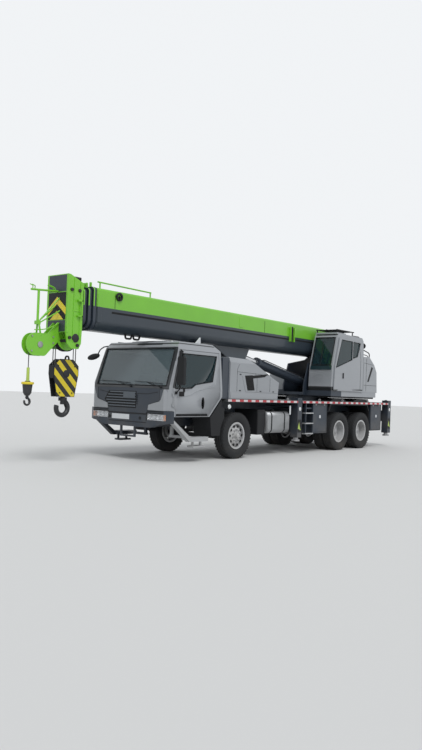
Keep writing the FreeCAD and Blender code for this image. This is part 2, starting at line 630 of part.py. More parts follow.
def seat(front, floor, middle_y):
    """A seat: its pedestal, cushion, back and headrest as one padded block."""
    side = prism("xz", side_view(((f"{front} - 60", floor), (f"{front} - 40", f"{floor} + 320"),
                                  (front, f"{floor} + 340"), (front, f"{floor} + 440"),
                                  (f"{front} - 370", f"{floor} + 420"), (f"{front} - 470", f"{floor} + 1050"),
                                  (f"{front} - 580", f"{floor} + 1050"), (f"{front} - 500", f"{floor} + 320"),
                                  (f"{front} - 420", f"{floor} + 320"), (f"{front} - 420", floor))),
                 f"{middle_y} - 240", f"{middle_y} + 240")
    return side


def cab_interior():
    floor = "cab_floor + cab_wall"
    dash = prism("xz", side_view(((2180, 1200), (2180, 1165), ("cab_front - cab_wall - 1", 1165),
                                  ("cab_front - cab_wall - 10", 1575), (2060, 1600), (2010, 1520),
                                  (2080, 1300))),
                 -1060, 1060)
    column = rod((ahead(2090), 600, 1420), (ahead(1905), 600, 1655), 32)
    wheel = doc.addObject("Part::Torus", "SteeringWheel")
    wheel.Radius1 = 215
    wheel.Radius2 = 16
    bind(wheel, "Placement", f"placement(vector({ahead(1900)}; 600; 1662); rotation(vector(0; 1; 0); -38))")
    spoke = box((ahead(1885), ahead(1915)), (388, 812), (1648, 1672))
    seats = [seat(1760, floor, y) for y in (600, -600)]
    node("cab_interior", group(fuse(dash, column, wheel, spoke), *seats))


def bumper():
    plan = prism("xy", [(ahead(x), f"{sign} * ({y})")
                        for sign, rows in ((-1, (("bumper_back", "half_width"),
                                                 ("bumper_back + 30", "half_width"),
                                                 ("bumper_front - 70", "half_width - 15"),
                                                 ("bumper_front", "half_width - 150"))),
                                           (1, (("bumper_front", "half_width - 150"),
                                                ("bumper_front - 70", "half_width - 15"),
                                                ("bumper_back + 30", "half_width"),
                                                ("bumper_back", "half_width"))))
                        for x, y in rows], "bumper_bottom", "bumper_top")
    face = prism("yz", (("-half_width", "bumper_top"), ("-half_width", 850), (-1000, 823),
                        (-700, "bumper_bottom"), (700, "bumper_bottom"), (1000, 823),
                        ("half_width", 850), ("half_width", "bumper_top")),
                 ahead(2200), ahead(2500))
    mask = prism("yz", ((-965, 1575), (-965, 1312), (-622, 1222), (-607, "bumper_top"),
                        (607, "bumper_top"), (622, 1222), (965, 1312), (965, 1575)),
                 ahead("cab_front + 0.5"), ahead("cab_front + 42"))
    slots = [box((ahead("cab_front + 20"), ahead("cab_front + 60")), (-560, 330), (low, low + 22))
             for low in range(1225, 1450, 45)]
    frame = fuse(box((ahead(2375), ahead(2415)), (190, 232), (510, 760)),
                 box((ahead(2375), ahead(2415)), (-232, -190), (510, 760)),
                 box((ahead(2375), ahead(2415)), (-232, 232), (510, 545)))
    pockets = both_sides(box((ahead("bumper_front - 60"), ahead("bumper_front + 10")), (600, 1140),
                             (895, 1035)))
    node("front_bumper", cut(fuse(common(plan, face), mask, frame), *slots, *pockets))


def lamps():
    head = box((ahead("bumper_front - 60"), ahead("bumper_front - 6")), (602, 1138), (897, 1033))
    tail = box((ahead("-rear_stand_x - stand_box_half - 32"), ahead("-rear_stand_x - stand_box_half")),
               (560, 800), (930, 1040))
    node("lamps", group(*both_sides(head, tail)))


def mirrors():
    arms = fuse(box((ahead(1985), ahead(2015)), (1145, 1180), (2365, 2395)),
                rod((ahead(2000), 1172, 2380), (ahead(2250), 1345, 2400), 13),
                rod((ahead(2250), 1345, 2400), (ahead(2250), 1352, 2250), 13),
                box((ahead(2170), ahead(2230)), (1200, 1218), (1470, 1530)),
                rod((ahead(2200), 1212, 1500), (ahead(2250), 1345, 1580), 13),
                rod((ahead(2250), 1345, 1580), (ahead(2250), 1352, 1700), 13))
    shell = prism("yz", ((1290, 1690), (1290, 2230), (1310, 2260), (1450, 2260), (1475, 2230), (1475, 1690),
                         (1450, 1660), (1310, 1660)), ahead(2215), ahead(2285))
    node("mirror_left", fuse(arms, shell))
    loop = fuse(box((ahead(2105), ahead(2135)), (-1160, -1131), (2430, 2460)),
                rod((ahead(2120), -1150, 2445), (ahead(2320), -1400, 2480), 12),
                rod((ahead(2320), -1400, 2480), (ahead(2320), -1415, 2340), 12))
    bowl = prism("yz", ((-1475, 2230), (-1475, 2330), (-1440, 2380), (-1390, 2380), (-1355, 2330),
                        (-1355, 2230), (-1390, 2190), (-1440, 2190)), ahead(2285), ahead(2355))
    node("mirror_right", fuse(loop, bowl))


def steps():
    slant = prism("xz", side_view(((2280, 920), (2280, 850), (1760, 455), (1140, 455), (1140, 555),
                                   (1740, 555))), 1130, 1250)
    tread = box((ahead(1140), ahead(1740)), (1000, 1140), (480, 550))
    low_tread = box((ahead(1270), ahead(1630)), (1060, 1240), (325, 365))
    hangers = [box((ahead(place), ahead(place + 40)), (1150, 1190), (340, 470)) for place in (1300, 1560)]
    bracket = fuse(box((ahead(1400), ahead(1460)), ("rail_inner", 1020), (490, 545)),
                   box((ahead(1400), ahead(1460)), (380, 440), (490, "frame_bottom")))
    cab_step = fuse(slant, tread, low_tread, bracket, *hangers)
    rails = [box((ahead(place), ahead(place + 30)), (1190, 1235), (500, DECK_BOTTOM))
             for place in (-3330, -2960)]
    treads = [box((ahead(-3320), ahead(-2940)), (1120, 1240), (low, low + 28)) for low in (505, 780, 1055)]
    stay = box((ahead(-3330), ahead(-2930)), ("rail_half", 1200), (1180, 1220))
    node("steps", group(*both_sides(cab_step, fuse(*rails, *treads, stay))))


def bonnet():
    def form(inset):
        side = prism("xz", side_view(((f"bonnet_front - {inset}", f"deck_top - {inset}"),
                                      (f"bonnet_front - {inset}", f"2370 - {inset}"),
                                      (-400, f"2350 - {inset}"), (-920, f"2130 - {inset}"),
                                      (-1350, f"1950 - {inset}"), (f"-1650 + {inset}", f"1840 - {inset}"),
                                      (f"-1600 + {inset}", f"deck_top - {inset}"))),
                     "-bonnet_half", "bonnet_half")
        front = prism("yz", [(f"{sign} * ({y} - {inset})", z)
                             for sign, rows in ((-1, (("bonnet_half", 1300), ("bonnet_half", 2250),
                                                      ("bonnet_half - 90", 2420))),
                                                (1, (("bonnet_half - 90", 2420), ("bonnet_half", 2250),
                                                     ("bonnet_half", 1300))))
                             for y, z in rows], ahead(-1800), ahead(600))
        return common(side, front)
    hood = cut(form("0"), form("bonnet_wall"))
    tower = box((ahead("bonnet_front"), ahead("cab_rear - 15")), (740, "bonnet_half - 30"),
                ("deck_top", 2340))
    node("bonnet", fuse(hood, *both_sides(tower)))


def mudguards():
    front = prism("xz", side_view(((1062, 965), (645, 1405), (560, 1405), (560, 700), (690, 560),
                                   (1000, 560))), 700, 1215)
    front = cut(front, cylinder("y", (AXLE, "tyre_radius"), (600, 1300), 700),
                box((ahead(400), ahead("cab_rear + 20")), (600, 1300), (1200, 1500)))
    front = fuse(front, box((ahead(660), ahead(730)), ("rail_half", 710), (830, 890)))
    rear = prism("xz", side_view(((-4130, 1130), (-4230, DECK_BOTTOM), (-6490, DECK_BOTTOM), (-6600, 1130),
                                  (-6570, 1130), (-6465, "deck_top - deck_thick - 30"),
                                  (-4255, "deck_top - deck_thick - 30"), (-4165, 1130))), 600, 1240)
    node("mudguards", group(*both_sides(front, rear)))


def lockers():
    tank = prism("yz", (("rail_half", 565), ("locker_side", 565), ("locker_side", 1110), ("rail_half", 1110)),
                 ahead(-2180), ahead(-1220), rounds=(((1, 2), 120),))
    battery = box((ahead(-1150), ahead(-830)), ("rail_half", 1150), (540, 1150))
    boxes = [box((ahead(rear), ahead(front)), ("rail_half", "locker_side"), ("locker_bottom", DECK_BOTTOM))
             for rear, front in ((-4110, -3345), (-7520, -6790))]
    node("tanks_and_lockers", group(*both_sides(tank, battery, *boxes)))


# Turntable
SIDE_PLATE = ((-4180, "table_bottom"), (-4190, 1860), (-4420, 2480), (-5350, 2640), (-5950, 3010),
              (-6180, 3160), (-6520, 3160), (-6660, 3010), (-7180, 2300), (-7330, "table_bottom"))


def turntable():
    floor = box((ahead(-7330), ahead(-4180)), ("-plate_inner - plate_thick", "plate_inner + plate_thick"),
                ("table_bottom", "table_top"))
    wing = box((ahead(-7100), ahead(-4300)), ("plate_inner", "op_cab_outer"),
               ("wing_bottom", "op_cab_bottom"))
    ring = cylinder("z", (SLEW, 0), ("ring_top + running_gap", "table_bottom + 10"), "ring_radius - 20")
    plate = prism("xz", side_view(SIDE_PLATE), "plate_inner", "plate_inner + plate_thick")
    luff_pin = cylinder("y", (ahead("-luff_x"), "luff_z"),
                        ("-plate_inner - plate_thick", "plate_inner + plate_thick"), "luff_pin_radius")
    foot_pin = cylinder("y", (ahead("-foot_x"), "foot_z"),
                        ("-plate_inner - plate_thick", "plate_inner + plate_thick"), "foot_pin_radius")
    bores = [cylinder("y", (ahead(f"-{place}"), "winch_z"), (-500, 500), "winch_shaft + running_gap")
             for place in ("main_winch_x", "aux_winch_x")]
    node("turntable_frame", cut(fuse(floor, ring, *both_sides(wing, plate), luff_pin, foot_pin), *bores))


def counterweight():
    plan = prism("xy", ((ahead(-7330), -880), (ahead(-7330), 880), (ahead(-7640), 860),
                        (ahead(-7920), 620), (ahead(-7950), 400), (ahead(-7950), -400),
                        (ahead(-7920), -620), (ahead(-7640), -860)), 1600, 2250)
    node("counterweight", plan)


def housings():
    across = ("plate_inner + plate_thick + 6", "op_cab_outer + 5")
    left = prism("xz", side_view(((-6240, "op_cab_bottom"), (-6240, 2780), (-6600, 2800), (-6950, 2560),
                                  (-7120, 2340), (-7170, "op_cab_bottom"))), *across)
    right = prism("xz", side_view(((-4700, "op_cab_bottom"), (-4700, 2150), (-5000, 2300), (-6500, 2300),
                                   (-7100, 2200), (-7170, "op_cab_bottom"))), *across)
    bores = [cylinder("y", (ahead(f"-{place}"), "winch_z"), (300, 460), "winch_shaft + 40")
             for place in ("main_winch_x", "aux_winch_x")]
    node("rear_housings", group(cut(left, *bores), cut(mirrored(right), *[mirrored(bore) for bore in bores])))


# The operator's windscreen leans back between these two lines of the cab's front.
OP_SILL = (-4330, 2400)
OP_BROW = (-4580, 3290)
OP_SCREEN = (2430, 3240)


def op_blank(inset):
    """The operator's cab's outer form, or its inside when it is inset by the wall."""
    return prism("xz", side_view(((f"-4310 - {inset}", f"op_cab_bottom + {inset}"),
                                  (f"-4290 - {inset}", 1790),
                                  (f"{OP_SILL[0]} - {inset}", OP_SILL[1]),
                                  (f"{OP_BROW[0]} - {inset}", OP_BROW[1]),
                                  (f"-4700 - {inset}", f"op_cab_top - {inset}"),
                                  (f"-6100 + {inset}", f"op_cab_top - 30 - {inset}"),
                                  (f"-6190 + {inset}", 3250), (f"-op_cab_rear + {inset}", 2750),
                                  (f"-op_cab_rear + {inset}", f"op_cab_bottom + {inset}"))),
                 f"op_cab_inner + {inset}", f"op_cab_outer - {inset}")


OP_DOOR = ((-4400, 1745), (-4440, 2400), (-4670, 3240), (-5480, 3240), (-5480, 1745))
OP_OPENING = ((-4430, 1780), (-4470, 2400), (-4700, 3210), (-5450, 3210), (-5450, 1780))
OP_DOOR_WINDOW = ((-4495, 2370), (-4795, 3190), (-5430, 3180), (-5430, 2640))
OP_QUARTER = ((-5540, 2690), (-5540, 3180), (-5990, 3165), (-5830, 2760))
OP_INNER_WINDOW = ((-4560, 2450), (-4780, 3190), (-5960, 3170), (-5830, 2600))


def operator_cab():
    walls = cut(op_blank("0"), op_blank("op_wall"))
    face_hole = box((ahead(-4800), ahead(-4200)), ("op_cab_inner + 55", "op_cab_outer - 55"), OP_SCREEN)
    door_hole = prism("xz", side_view(OP_OPENING), 1100, 1300)
    quarter = prism("xz", side_view(OP_QUARTER), 1100, 1300)
    inner_window = prism("xz", side_view(OP_INNER_WINDOW), 400, 520)
    rail = box((ahead(-6170), ahead(-4380)), ("op_cab_outer", "op_cab_outer + 5 + op_door_thick"),
               ("1745 - 30", "1745 - running_gap"))
    visor = box((ahead(-5100), ahead(-4580)), ("op_cab_inner + 20", "op_cab_outer - 20"),
                ("op_cab_top - 30", "op_cab_top + 20"))
    shell = fuse(cut(walls, face_hole, door_hole, quarter, inner_window), rail, visor)
    node("op_cab_shell", shell)

    slope = f"({OP_SILL[0]} - ({OP_BROW[0]})) / ({OP_BROW[1]} - {OP_SILL[1]})"
    low, high = OP_SCREEN
    foot, top = (f"{OP_SILL[0]} - glass_inset - ({slope}) * ({z} - {OP_SILL[1]})" for z in OP_SCREEN)
    front = prism("xz", side_view(((foot, low), (top, high), (f"{top} - glass_thick", high),
                                   (f"{foot} - glass_thick", low))), "op_cab_inner + 55", "op_cab_outer - 55")
    rear_pane = prism("xz", side_view(OP_QUARTER), "op_cab_outer - glass_inset - glass_thick",
                      "op_cab_outer - glass_inset")
    inner_pane = prism("xz", side_view(OP_INNER_WINDOW), "op_cab_inner + glass_inset",
                       "op_cab_inner + glass_inset + glass_thick")
    node("op_cab_glass", group(front, rear_pane, inner_pane))

    low, high = "op_cab_outer + 5", "op_cab_outer + 5 + op_door_thick"
    leaf = cut(prism("xz", side_view(OP_DOOR), low, high), prism("xz", side_view(OP_DOOR_WINDOW), 1150, 1300))
    pane = prism("xz", side_view(OP_DOOR_WINDOW), f"{low} + 8", f"{low} + 8 + glass_thick")
    node("op_cab_door", group(leaf, pane))

    middle = "(op_cab_inner + op_cab_outer) / 2"
    floor = "op_cab_bottom + op_wall"
    chair = seat(-5150, floor, middle)
    consoles = [box((ahead(-5450), ahead(-5050)),
                    (f"{middle} + {side} * 290 - 35", f"{middle} + {side} * 290 + 35"),
                    (floor, f"{floor} + 640")) for side in (-1, 1)]
    pedals = box((ahead(-4700), ahead(-4560)), (f"{middle} - 150", f"{middle} + 150"),
                 (floor, f"{floor} + 90"))
    node("op_cab_interior", group(chair, *consoles, pedals))


def winches():
    for name, place in (("main_winch", "main_winch_x"), ("aux_winch", "aux_winch_x")):
        end = "plate_inner + plate_thick - 2"
        points = (("0", f"-({end})"), ("winch_shaft", f"-({end})"), ("winch_shaft", "-winch_half - 20"),
                  ("winch_flange", "-winch_half - 20"), ("winch_flange", "-winch_half + 10"),
                  ("winch_drum", "-winch_half + 10"), ("winch_drum", "winch_half - 10"),
                  ("winch_flange", "winch_half - 10"), ("winch_flange", "winch_half + 20"),
                  ("winch_shaft", "winch_half + 20"), ("winch_shaft", end), ("0", end))
        node(name, lathe("y", points, (ahead(f"-{place}"), 0, "winch_z")))


# Luffing cylinder, drawn along X from its base pin and then tilted up to the rod's eye
LUFF_RUN = "(luff_x - eye_x)"
LUFF_RISE = "(eye_z - luff_z)"
LUFF_LENGTH = f"sqrt({LUFF_RUN}^2 + {LUFF_RISE}^2)"


def tilted(piece):
    """The cylinder's piece tipped about its base pin."""
    held = doc.addObject("Part::Compound", "Tilted")
    held.Links = [piece]
    bind(held, "Placement", f"placement(vector({ahead('-luff_x')}; 0; luff_z); "
         f"rotation(vector(0; 1; 0); atan((0 - {LUFF_RISE}) / {LUFF_RUN})))")
    return held


def luffing_cylinder():
    eye = cylinder("y", (0, 0), (-120, 120), 120)
    tube = cylinder("x", (0, 0), (0, "luff_barrel_length"), "luff_barrel_radius")
    gland = cylinder("x", (0, 0), ("luff_barrel_length - 110", "luff_barrel_length"),
                     "luff_barrel_radius + 14")
    base_pin = cylinder("y", (0, 0), (-200, 200), "luff_pin_radius + running_gap")
    bore = cylinder("x", (0, 0), (140, "luff_barrel_length + 20"), "luff_rod_radius + running_gap")
    barrel = cut(fuse(eye, tube, gland), base_pin, bore)
    node("luff_barrel", tilted(barrel))
    bar = cylinder("x", (0, 0), (160, LUFF_LENGTH), "luff_rod_radius")
    end = cylinder("y", (LUFF_LENGTH, 0), ("-eye_half", "eye_half"), "eye_radius")
    node("luff_rod", tilted(fuse(bar, end)))


# Boom
def section_form(number, grow, start, end):
    """One boom section's outline, grown by an amount on every side, between two places along the boom."""
    half = f"boom_width / 2 - {number} * boom_step + ({grow})"
    top = f"boom_top - {number} * boom_step + ({grow})"
    bottom = f"boom_bottom + {number} * boom_step - ({grow})"
    return prism("yz", ((f"-({half})", bottom), (half, bottom), (half, top), (f"-({half})", top)), start, end,
                 rounds=(((0, 1), f"boom_round - {number} * boom_step + ({grow})"),
                         ((2, 3), f"max(4; boom_top_round - {number} * 8 + ({grow}))")))


def section_tube(number, rear, front):
    return cut(section_form(number, "0", rear, front),
               section_form(number, "-boom_wall", f"{rear} + 20", f"{front} + 20"))


def collar(number, front):
    """The collar at a section's front: it stands proud and carries the next section on its pads."""
    rear = f"{front} - collar_length"
    return cut(section_form(number, "collar_rise", rear, front),
               section_form(number + 1, "running_gap", f"{rear} - 5", f"{front} + 5"))


def section_front(number):
    return ahead(f"boom_front + 25 + collar_length + {number - 1} * collar_pitch")


def boom_base():
    tube = section_tube(0, ahead("-boom_rear"), ahead("boom_front"))
    pads = cut(section_form(0, "-boom_wall + 1", ahead("boom_front - 90"), ahead("boom_front")),
               section_form(1, "running_gap", ahead("boom_front - 100"), ahead("boom_front + 10")))
    foot = prism("xz", side_view((("-boom_rear", 3520), ("-boom_rear", 2730), (-6250, 2740), (-6470, 2790),
                                  (-6550, 2950), (-6470, 3110), (-6300, 3300))), -290, 290)
    foot_bore = cylinder("y", (ahead("-foot_x"), "foot_z"), (-300, 300), "foot_pin_radius + running_gap")
    lug = prism("xz", side_view(((-200, "boom_bottom + 150"), (-200, 2750), (-850, 2440), (-1420, 2405),
                                 (-1600, 2430), (-1680, 2550), (-1850, "boom_bottom + 150"))),
                "eye_half + lug_gap", "eye_half + lug_gap + lug_thick")
    lug = cut(lug, section_form(0, "-boom_wall + 2", ahead(-2000), ahead(0)))
    rail = fuse(rod((ahead(3620), 230, 3700), (ahead(2080), 230, 3680), 16),
                *[cylinder("z", (ahead(place), 230), (3560, height), 16)
                  for place, height in ((2100, 3680), (3560, 3700))])
    node("boom_section_1", cut(fuse(tube, pads, foot, *both_sides(lug), rail), foot_bore))


def inner_sections():
    for number, rear in ((1, -5700), (2, -5600), (3, -5500)):
        front = section_front(number)
        tube = section_tube(number, ahead(rear), front)
        node(f"boom_section_{number + 1}", fuse(tube, collar(number, front)))


HEAD_PLATE = (("head_rear", 3600), ("head_front - 60", 3740), ("head_front", 3740), ("head_front", 2600),
              (4400, 2380), (4300, 2290), (4120, 2290), (4060, 2400), ("head_rear", 2700))
NOSE_PLATE = ((4430, 2790), (4470, 2790), (4690, 2555), ("nose_reach", 2545), ("nose_reach", 2115),
              (4740, 2115), (4560, 2300), (4430, 2420))


def boom_tip():
    tube = section_tube(4, ahead(-5400), ahead("head_rear + 28"))
    plate = prism("xz", side_view(HEAD_PLATE), "head_plate_inner", "head_plate_inner + head_plate")
    cross = box((ahead("head_front - 25"), ahead("head_front")), ("-head_plate_inner", "head_plate_inner"),
                (2600, 3740))
    back = box((ahead("head_rear"), ahead("head_rear + 30")), ("-head_plate_inner", "head_plate_inner"),
               (2760, 3600))
    web = prism("xz", side_view((("head_rear", 3600), ("head_rear", 2820), ("head_front - 30", 2820),
                                 ("head_front - 30", 3700))), -110, 110)
    shaft = cylinder("y", (ahead("main_sheave_x"), "main_sheave_z"),
                     ("-head_plate_inner - head_plate - 12", "head_plate_inner + head_plate + 12"), 45)
    sheaves = [sheave("main_sheave_x", "main_sheave_z", "main_pitch", f"{y} * fall_y") for y in (-1, 1)]
    spacers = both_sides(cylinder("y", (ahead("main_sheave_x"), "main_sheave_z"),
                                  ("fall_y + 20", "head_plate_inner"), 75))
    nose_plate = prism("xz", side_view(NOSE_PLATE), 60, 78, rounds=(((3, 4), 212), ((5,), 90)))
    nose_sheave = sheave("aux_sheave_x", "aux_sheave_z", "aux_pitch", "0")
    nose_shaft = cylinder("y", (ahead("aux_sheave_x"), "aux_sheave_z"), (-90, 90), 35)
    nose_spacer = cylinder("y", (ahead("aux_sheave_x"), "aux_sheave_z"), (-62, 62), 60)
    nose_web = box((ahead(4500), ahead(4580)), (-62, 62), (2410, 2560))
    frame = [rod((ahead(start[0]), start[1], start[2]), (ahead(end[0]), end[1], end[2]), radius)
             for start, end, radius in (
                 ((4430, 0, 3410), (5060, 0, 3370), 20), ((4870, 25, 2745), (4850, 69, 2500), 18),
                 ((4870, -25, 2745), (4850, -69, 2500), 18), ((4430, 60, 3280), (4885, 12, 2760), 13),
                 ((4430, -60, 3130), (4885, -12, 2750), 13))]
    frame += [cylinder("z", (ahead(4885), 0), (2750, 3390), 24),
              box((ahead(4845), ahead(4925)), (-45, 45), (2715, 2785))]
    head = fuse(tube, cross, back, web, *both_sides(plate))
    head = fuse(head, shaft, *sheaves, *spacers)
    nose = fuse(nose_web, nose_shaft, nose_spacer, nose_sheave, *both_sides(nose_plate))
    node("boom_section_5", fuse(head, nose, *frame, merge_faces=False))


def sheave(place, height, pitch, y):
    """A grooved sheave whose rope lies at its pitch radius."""
    floor = f"{pitch} - rope_radius - running_gap"
    return lathe("y", ((0, -20), (floor, -20), (floor, 20), (0, 20)), (ahead(place), y, height))


def main_rope():
    falls = [cylinder("z", (ahead(f"main_sheave_x + {side} * main_pitch"), f"{row} * fall_y"),
                      ("block_sheave_z", "main_sheave_z"), "rope_radius")
             for side in (-1, 1) for row in (-1, 1)]
    node("main_rope", group(*falls))


BLOCK_PLATE = ((-165, 2080), (165, 2080), (295, 1960), (300, 1790), (215, 1345), (-215, 1345), (-300, 1790),
               (-295, 1960))


def hook_block():
    points = [(ahead(f"main_sheave_x + {x}"), z) for x, z in BLOCK_PLATE]
    plate = prism("xz", points, "block_plate_y", "block_plate_y + block_plate")
    sheaves = [sheave("main_sheave_x", "block_sheave_z", "main_pitch", f"{row} * fall_y") for row in (-1, 1)]
    shaft = cylinder("y", (ahead("main_sheave_x"), "block_sheave_z"), ("-block_plate_y", "block_plate_y"), 60)
    cross = box((ahead("main_sheave_x - 150"), ahead("main_sheave_x + 150")),
                ("-block_plate_y", "block_plate_y"), (1345, 1440))
    neck = cylinder("z", (ahead("main_sheave_x"), 0), (1190, 1360), 48)
    hook = doc.addObject("Part::Torus", "Hook")
    hook.Radius1 = 140
    hook.Radius2 = 48
    hook.Angle3 = 285
    bind(hook, "Placement", f"placement(vector({ahead('main_sheave_x + 10')}; 0; 1120); "
         "rotation(vector(1; 0; 0); 90)) * placement(vector(0; 0; 0); rotation(vector(0; 0; 1); 95))")
    node("main_block", fuse(plate, mirrored(plate), *sheaves, shaft, cross, neck, hook))


def aux_rope():
    node("aux_rope", cylinder("z", (ahead("aux_sheave_x + aux_pitch"), 0), (1880, "aux_sheave_z"),
                              "rope_radius"))


def aux_hook():
    place = ahead("aux_sheave_x + aux_pitch")
    weight = lathe("z", ((0, 1880), (28, 1880), (30, 1640), (60, 1610), (108, 1600), (108, 1575), (95, 1560),
                         (78, 1400), (40, 1345), (0, 1345)), (place, 0, 0))
    neck = cylinder("z", (place, 0), (1280, 1350), 22)
    hook = doc.addObject("Part::Torus", "SmallHook")
    hook.Radius1 = 62
    hook.Radius2 = 20
    hook.Angle3 = 285
    bind(hook, "Placement", f"placement(vector({place} - 4; 0; 1235); rotation(vector(1; 0; 0); 90)) * "
         "placement(vector(0; 0; 0); rotation(vector(0; 0; 1); 95))")
    node("aux_hook", fuse(weight, neck, hook))


chassis()
boom_rest()
deck()
engine()
axles()
knuckle("left")
knuckle("right")
front_wheels()
rear_wheels()
outriggers()
driver_cab()
cab_interior()
bumper()
lamps()
mirrors()
steps()
bonnet()
mudguards()
lockers()
turntable()
counterweight()
housings()
operator_cab()
winches()
luffing_cylinder()
boom_base()
inner_sections()
boom_tip()
main_rope()
hook_block()
aux_rope()
aux_hook()

doc.recompute()
for thing in doc.Objects:
    if "Invalid" in thing.State or "Error" in thing.State:
        raise RuntimeError(f"{thing.Name} ({thing.Label}) did not build: {thing.State}")
for name, piece in nodes:
    if piece.Shape.isNull() or not piece.Shape.isValid() or not piece.Shape.Solids:
        raise RuntimeError(f"{name} is not a valid solid: {len(piece.Shape.Solids)} solids")

os.makedirs("parts", exist_ok=True)
for name, piece in nodes:
    piece.Shape.exportStep(f"parts/{name}.step")
print(len(nodes), "nodes written")
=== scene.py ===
"""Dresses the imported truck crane: paint, glass, tyres with tread, trim, ropes, and a plain studio."""

from contextlib import contextmanager
import math

import bpy
from mathutils import Matrix, Vector


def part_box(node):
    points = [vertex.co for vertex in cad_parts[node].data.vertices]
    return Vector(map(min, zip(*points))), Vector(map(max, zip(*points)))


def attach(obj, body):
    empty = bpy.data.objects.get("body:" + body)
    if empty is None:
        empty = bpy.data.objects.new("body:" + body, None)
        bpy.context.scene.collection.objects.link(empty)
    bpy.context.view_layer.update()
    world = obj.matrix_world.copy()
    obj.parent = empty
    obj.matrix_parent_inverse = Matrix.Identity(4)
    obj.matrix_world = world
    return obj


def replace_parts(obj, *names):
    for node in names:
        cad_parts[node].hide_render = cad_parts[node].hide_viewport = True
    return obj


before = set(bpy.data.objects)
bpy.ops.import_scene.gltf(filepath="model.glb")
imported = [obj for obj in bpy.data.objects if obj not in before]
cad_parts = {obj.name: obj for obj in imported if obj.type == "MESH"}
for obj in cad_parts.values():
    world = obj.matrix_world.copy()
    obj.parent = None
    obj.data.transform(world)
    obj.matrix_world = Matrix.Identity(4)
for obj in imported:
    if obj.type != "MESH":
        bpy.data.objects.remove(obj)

bl_info = {
    "name": "Truck Crane Looks",
    "version": (1, 0, 0),
    "blender": (4, 5, 0),
    "location": "View3D > Sidebar > Crane",
    "description": "Dresses the packed truck crane and sets up its studio",
    "category": "Object",
}

# The front axle's centre and the tyres' size come from the frame. Places along the crane are ahead of it.
TYRE_LOW, TYRE_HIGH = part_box("front_tyre_left")
FRONT_AXLE = (TYRE_LOW[0] + TYRE_HIGH[0]) / 2
TYRE_RADIUS = (TYRE_HIGH[2] - TYRE_LOW[2]) / 2
TYRE_WIDTH = TYRE_HIGH[1] - TYRE_LOW[1]


def ahead(distance):
    """A place along the crane, measured from the front axle."""
    return FRONT_AXLE + distance


def put(x, y, z):
    """A point given ahead of the front axle."""
    return Vector((ahead(x), y, z))


# Faces and places that several pieces share, in metres
BODY_SIDE = 1.2  # face of the lockers, the engine cover and the doors
DOOR_BELT = 1.6  # above this height the doors lean in
DOOR_LEAN = 0.0833
SCREEN_FOOT = (2.39, 1.583)  # the driver's windscreen wall leans back from here
SCREEN_SLOPE = 0.316
SLEW_X = -4.95  # axis of the upper frame
BOOM_SIDE = 0.31  # half the boom's width
BOOM_DIVISION = 3.186  # height at which the boom's two colours meet
HEAD_FRONT = 4.44  # front face of the boom's head
MAIN_SHEAVES = (4.21, 2.50)
NOSE_SHEAVE = (4.86, 2.33)
MAIN_HOOK_X = 4.21
SECOND_HOOK_X = 5.05
STAND_X = {"left": (-2.623, -8.047), "right": (-2.817, -7.853)}  # outrigger columns, front and rear
SIDES = (("left", 1), ("right", -1))

GREY = (0.30, 0.315, 0.335)
SLATE = (0.024, 0.034, 0.050)
GREEN = (0.19, 0.545, 0.03)
BLACK = (0.012, 0.013, 0.015)
YELLOW = (0.76, 0.60, 0.02)
MARK = (0.42, 0.56, 0.10)
DUST = (0.20, 0.165, 0.12)
GRIME = (0.05, 0.045, 0.03)


# Shader values and finishes


class Field:
    """A node's output that Python's operators work on."""

    def __init__(self, shade, socket):
        self.shade = shade
        self.socket = socket

    def _math(self, operation, *values):
        return self.shade.make("ShaderNodeMath", {"operation": operation}, dict(enumerate(values)))

    def __add__(self, other):
        return self._math("ADD", self, other)

    def __sub__(self, other):
        return self._math("SUBTRACT", self, other)

    def __rsub__(self, other):
        return self._math("SUBTRACT", other, self)

    def __mul__(self, other):
        return self._math("MULTIPLY", self, other)

    def __truediv__(self, other):
        return self._math("DIVIDE", self, other)

    def __gt__(self, other):
        return self._math("GREATER_THAN", self, other)

    def __lt__(self, other):
        return self._math("LESS_THAN", self, other)

    __radd__ = __add__
    __rmul__ = __mul__

    def size(self):
        return self._math("ABSOLUTE", self)

    def part(self):
        """What is left after the whole number is taken away."""
        return self._math("FRACT", self)

    def held(self):
        """Kept between nought and one."""
        return self.shade.make("ShaderNodeClamp", {}, {0: self})


